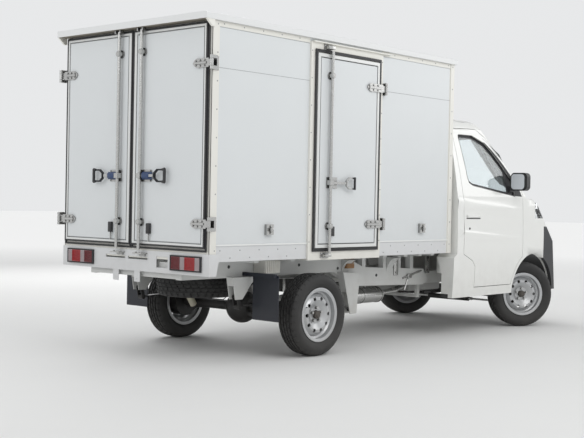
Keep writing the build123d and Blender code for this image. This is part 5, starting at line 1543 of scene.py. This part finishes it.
# %% Wipers and windscreen border
NOSE = tree_of("cab_glass", "bonnet", "cab_shell")
SCREEN = tree_of("cab_glass")
SCREEN_CORNERS = [(-700, 1222), (700, 1222), (622, 1735), (-622, 1735)]
WIPER_STEPS, BLADE_FROM = 8, 2
bm = bmesh.new()
for x0, x1 in ((0.52, 0.03), (-0.02, -0.50)):
    line = []
    for i in range(WIPER_STEPS + 1):
        share = i / WIPER_STEPS
        line.append(on_front(x0 + (x1 - x0) * share, 1.185 + 0.040 * share, NOSE, otherwise=-2.0))
    add_pipe(bm, [p + Vector((0, -0.016, 0.002)) for p in line[BLADE_FROM:]], 0.0055)
    add_pipe(bm, [p + Vector((0, -0.006, 0.002)) for p in line], 0.0045)
    add_rod(bm, line[0] + Vector((0, 0.004, -0.004)), line[0] + Vector((0, -0.022, 0.002)), 0.014, 20, 0.012)
finish_piece("wipers", bm, "chassis", black_plastic)
screen_edge = divided(SCREEN_CORNERS + SCREEN_CORNERS[:1], 30)[:-1]
bm = bmesh.new()
rows = []
for reach, proud in ((-3, 0.0004), (-5, 0.0020), (-26, 0.0016)):
    rows.append([on_front(x / 1000, z / 1000, SCREEN, proud) for x, z in grown(screen_edge, reach)])
add_strip(bm, rows, closed=True)
finish_piece("windscreen_surround", bm, "chassis", seal_rubber, face_out=True)

# %% [markdown]
# The bumper carries a round fog lamp on each side and a raised line above and below. Rods that would stand
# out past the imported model's front are pressed back to it.

# %% Bumper details
BUMPER_SKIN = tree_of("front_bumper")
FOG_X, FOG_Z = 0.560, 0.520
FRONT_LIMIT = cad_box[0][1] + 0.0002
fog_places = [on_front(side * FOG_X, FOG_Z, BUMPER_SKIN) for side in (-1, 1)]


def keep_behind_front(bm):
    """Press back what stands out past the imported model."""
    for vert in bm.verts:
        vert.co.y = max(vert.co.y, FRONT_LIMIT)


bm = bmesh.new()
for place in fog_places:
    add_rod(bm, place + Vector((0, 0.012, 0)), place + Vector((0, -0.003, 0)), 0.058, 36, 0.054)
for half, z in ((0.60, 0.668), (0.52, 0.385)):
    add_pipe(bm, [on_front(x, z, BUMPER_SKIN) for x in steps(-half, half, 0.1)], 0.005)
keep_behind_front(bm)
finish_piece("bumper_details", bm, "chassis", black_plastic)
bm = bmesh.new()
for place in fog_places:
    add_rod(bm, place + Vector((0, 0.004, 0)), place + Vector((0, -0.006, 0)), 0.040, 32, 0.034)
keep_behind_front(bm)
finish_piece("fog_lamps", bm, "chassis", chrome)

# %% [markdown]
# Dark mesh closes the bumper's slots: upright bars behind each slot and two bars across them. A blank
# number plate is screwed to the bumper. The rear plate's place stays empty, as in the photograph.

# %% Grille mesh and number plate
# Lower edge, height and half length of each slot
SLOTS = [
    (0.690, 0.028, 0.420), (0.735, 0.028, 0.400), (0.780, 0.028, 0.380),
    (0.410, 0.025, 0.380), (0.450, 0.025, 0.380), (0.490, 0.025, 0.380),
]
bm = bmesh.new()
for foot, height, half in SLOTS:
    back = on_front(0, foot - 0.006, BUMPER_SKIN, otherwise=-2.4).y + 0.030
    for x in steps(-half + 0.01, half - 0.01, 0.020):
        add_block(bm, (x - 0.0012, back - 0.004, foot), (x + 0.0012, back, foot + height))
    for z in (foot + height / 3, foot + 2 * height / 3):
        add_block(bm, (-half, back - 0.005, z - 0.001), (half, back - 0.001, z + 0.001))
finish_piece("grille_mesh", bm, "chassis", black_plastic)
plate_y = cad_box[0][1]
bm = bmesh.new()
add_block(bm, (-0.220, plate_y + 0.0005, 0.535), (0.220, plate_y + 0.0025, 0.645), 0.0008)
add_block(bm, (-0.180, plate_y + 0.002, 0.560), (0.180, plate_y + 0.030, 0.620), 0.002)
for x in (-0.150, 0.150):
    add_rod(bm, (x, plate_y + 0.0008, 0.590), (x, plate_y + 0.0002, 0.590), 0.006, 16, 0.005)
finish_piece("blank_plate", bm, "chassis", edging)
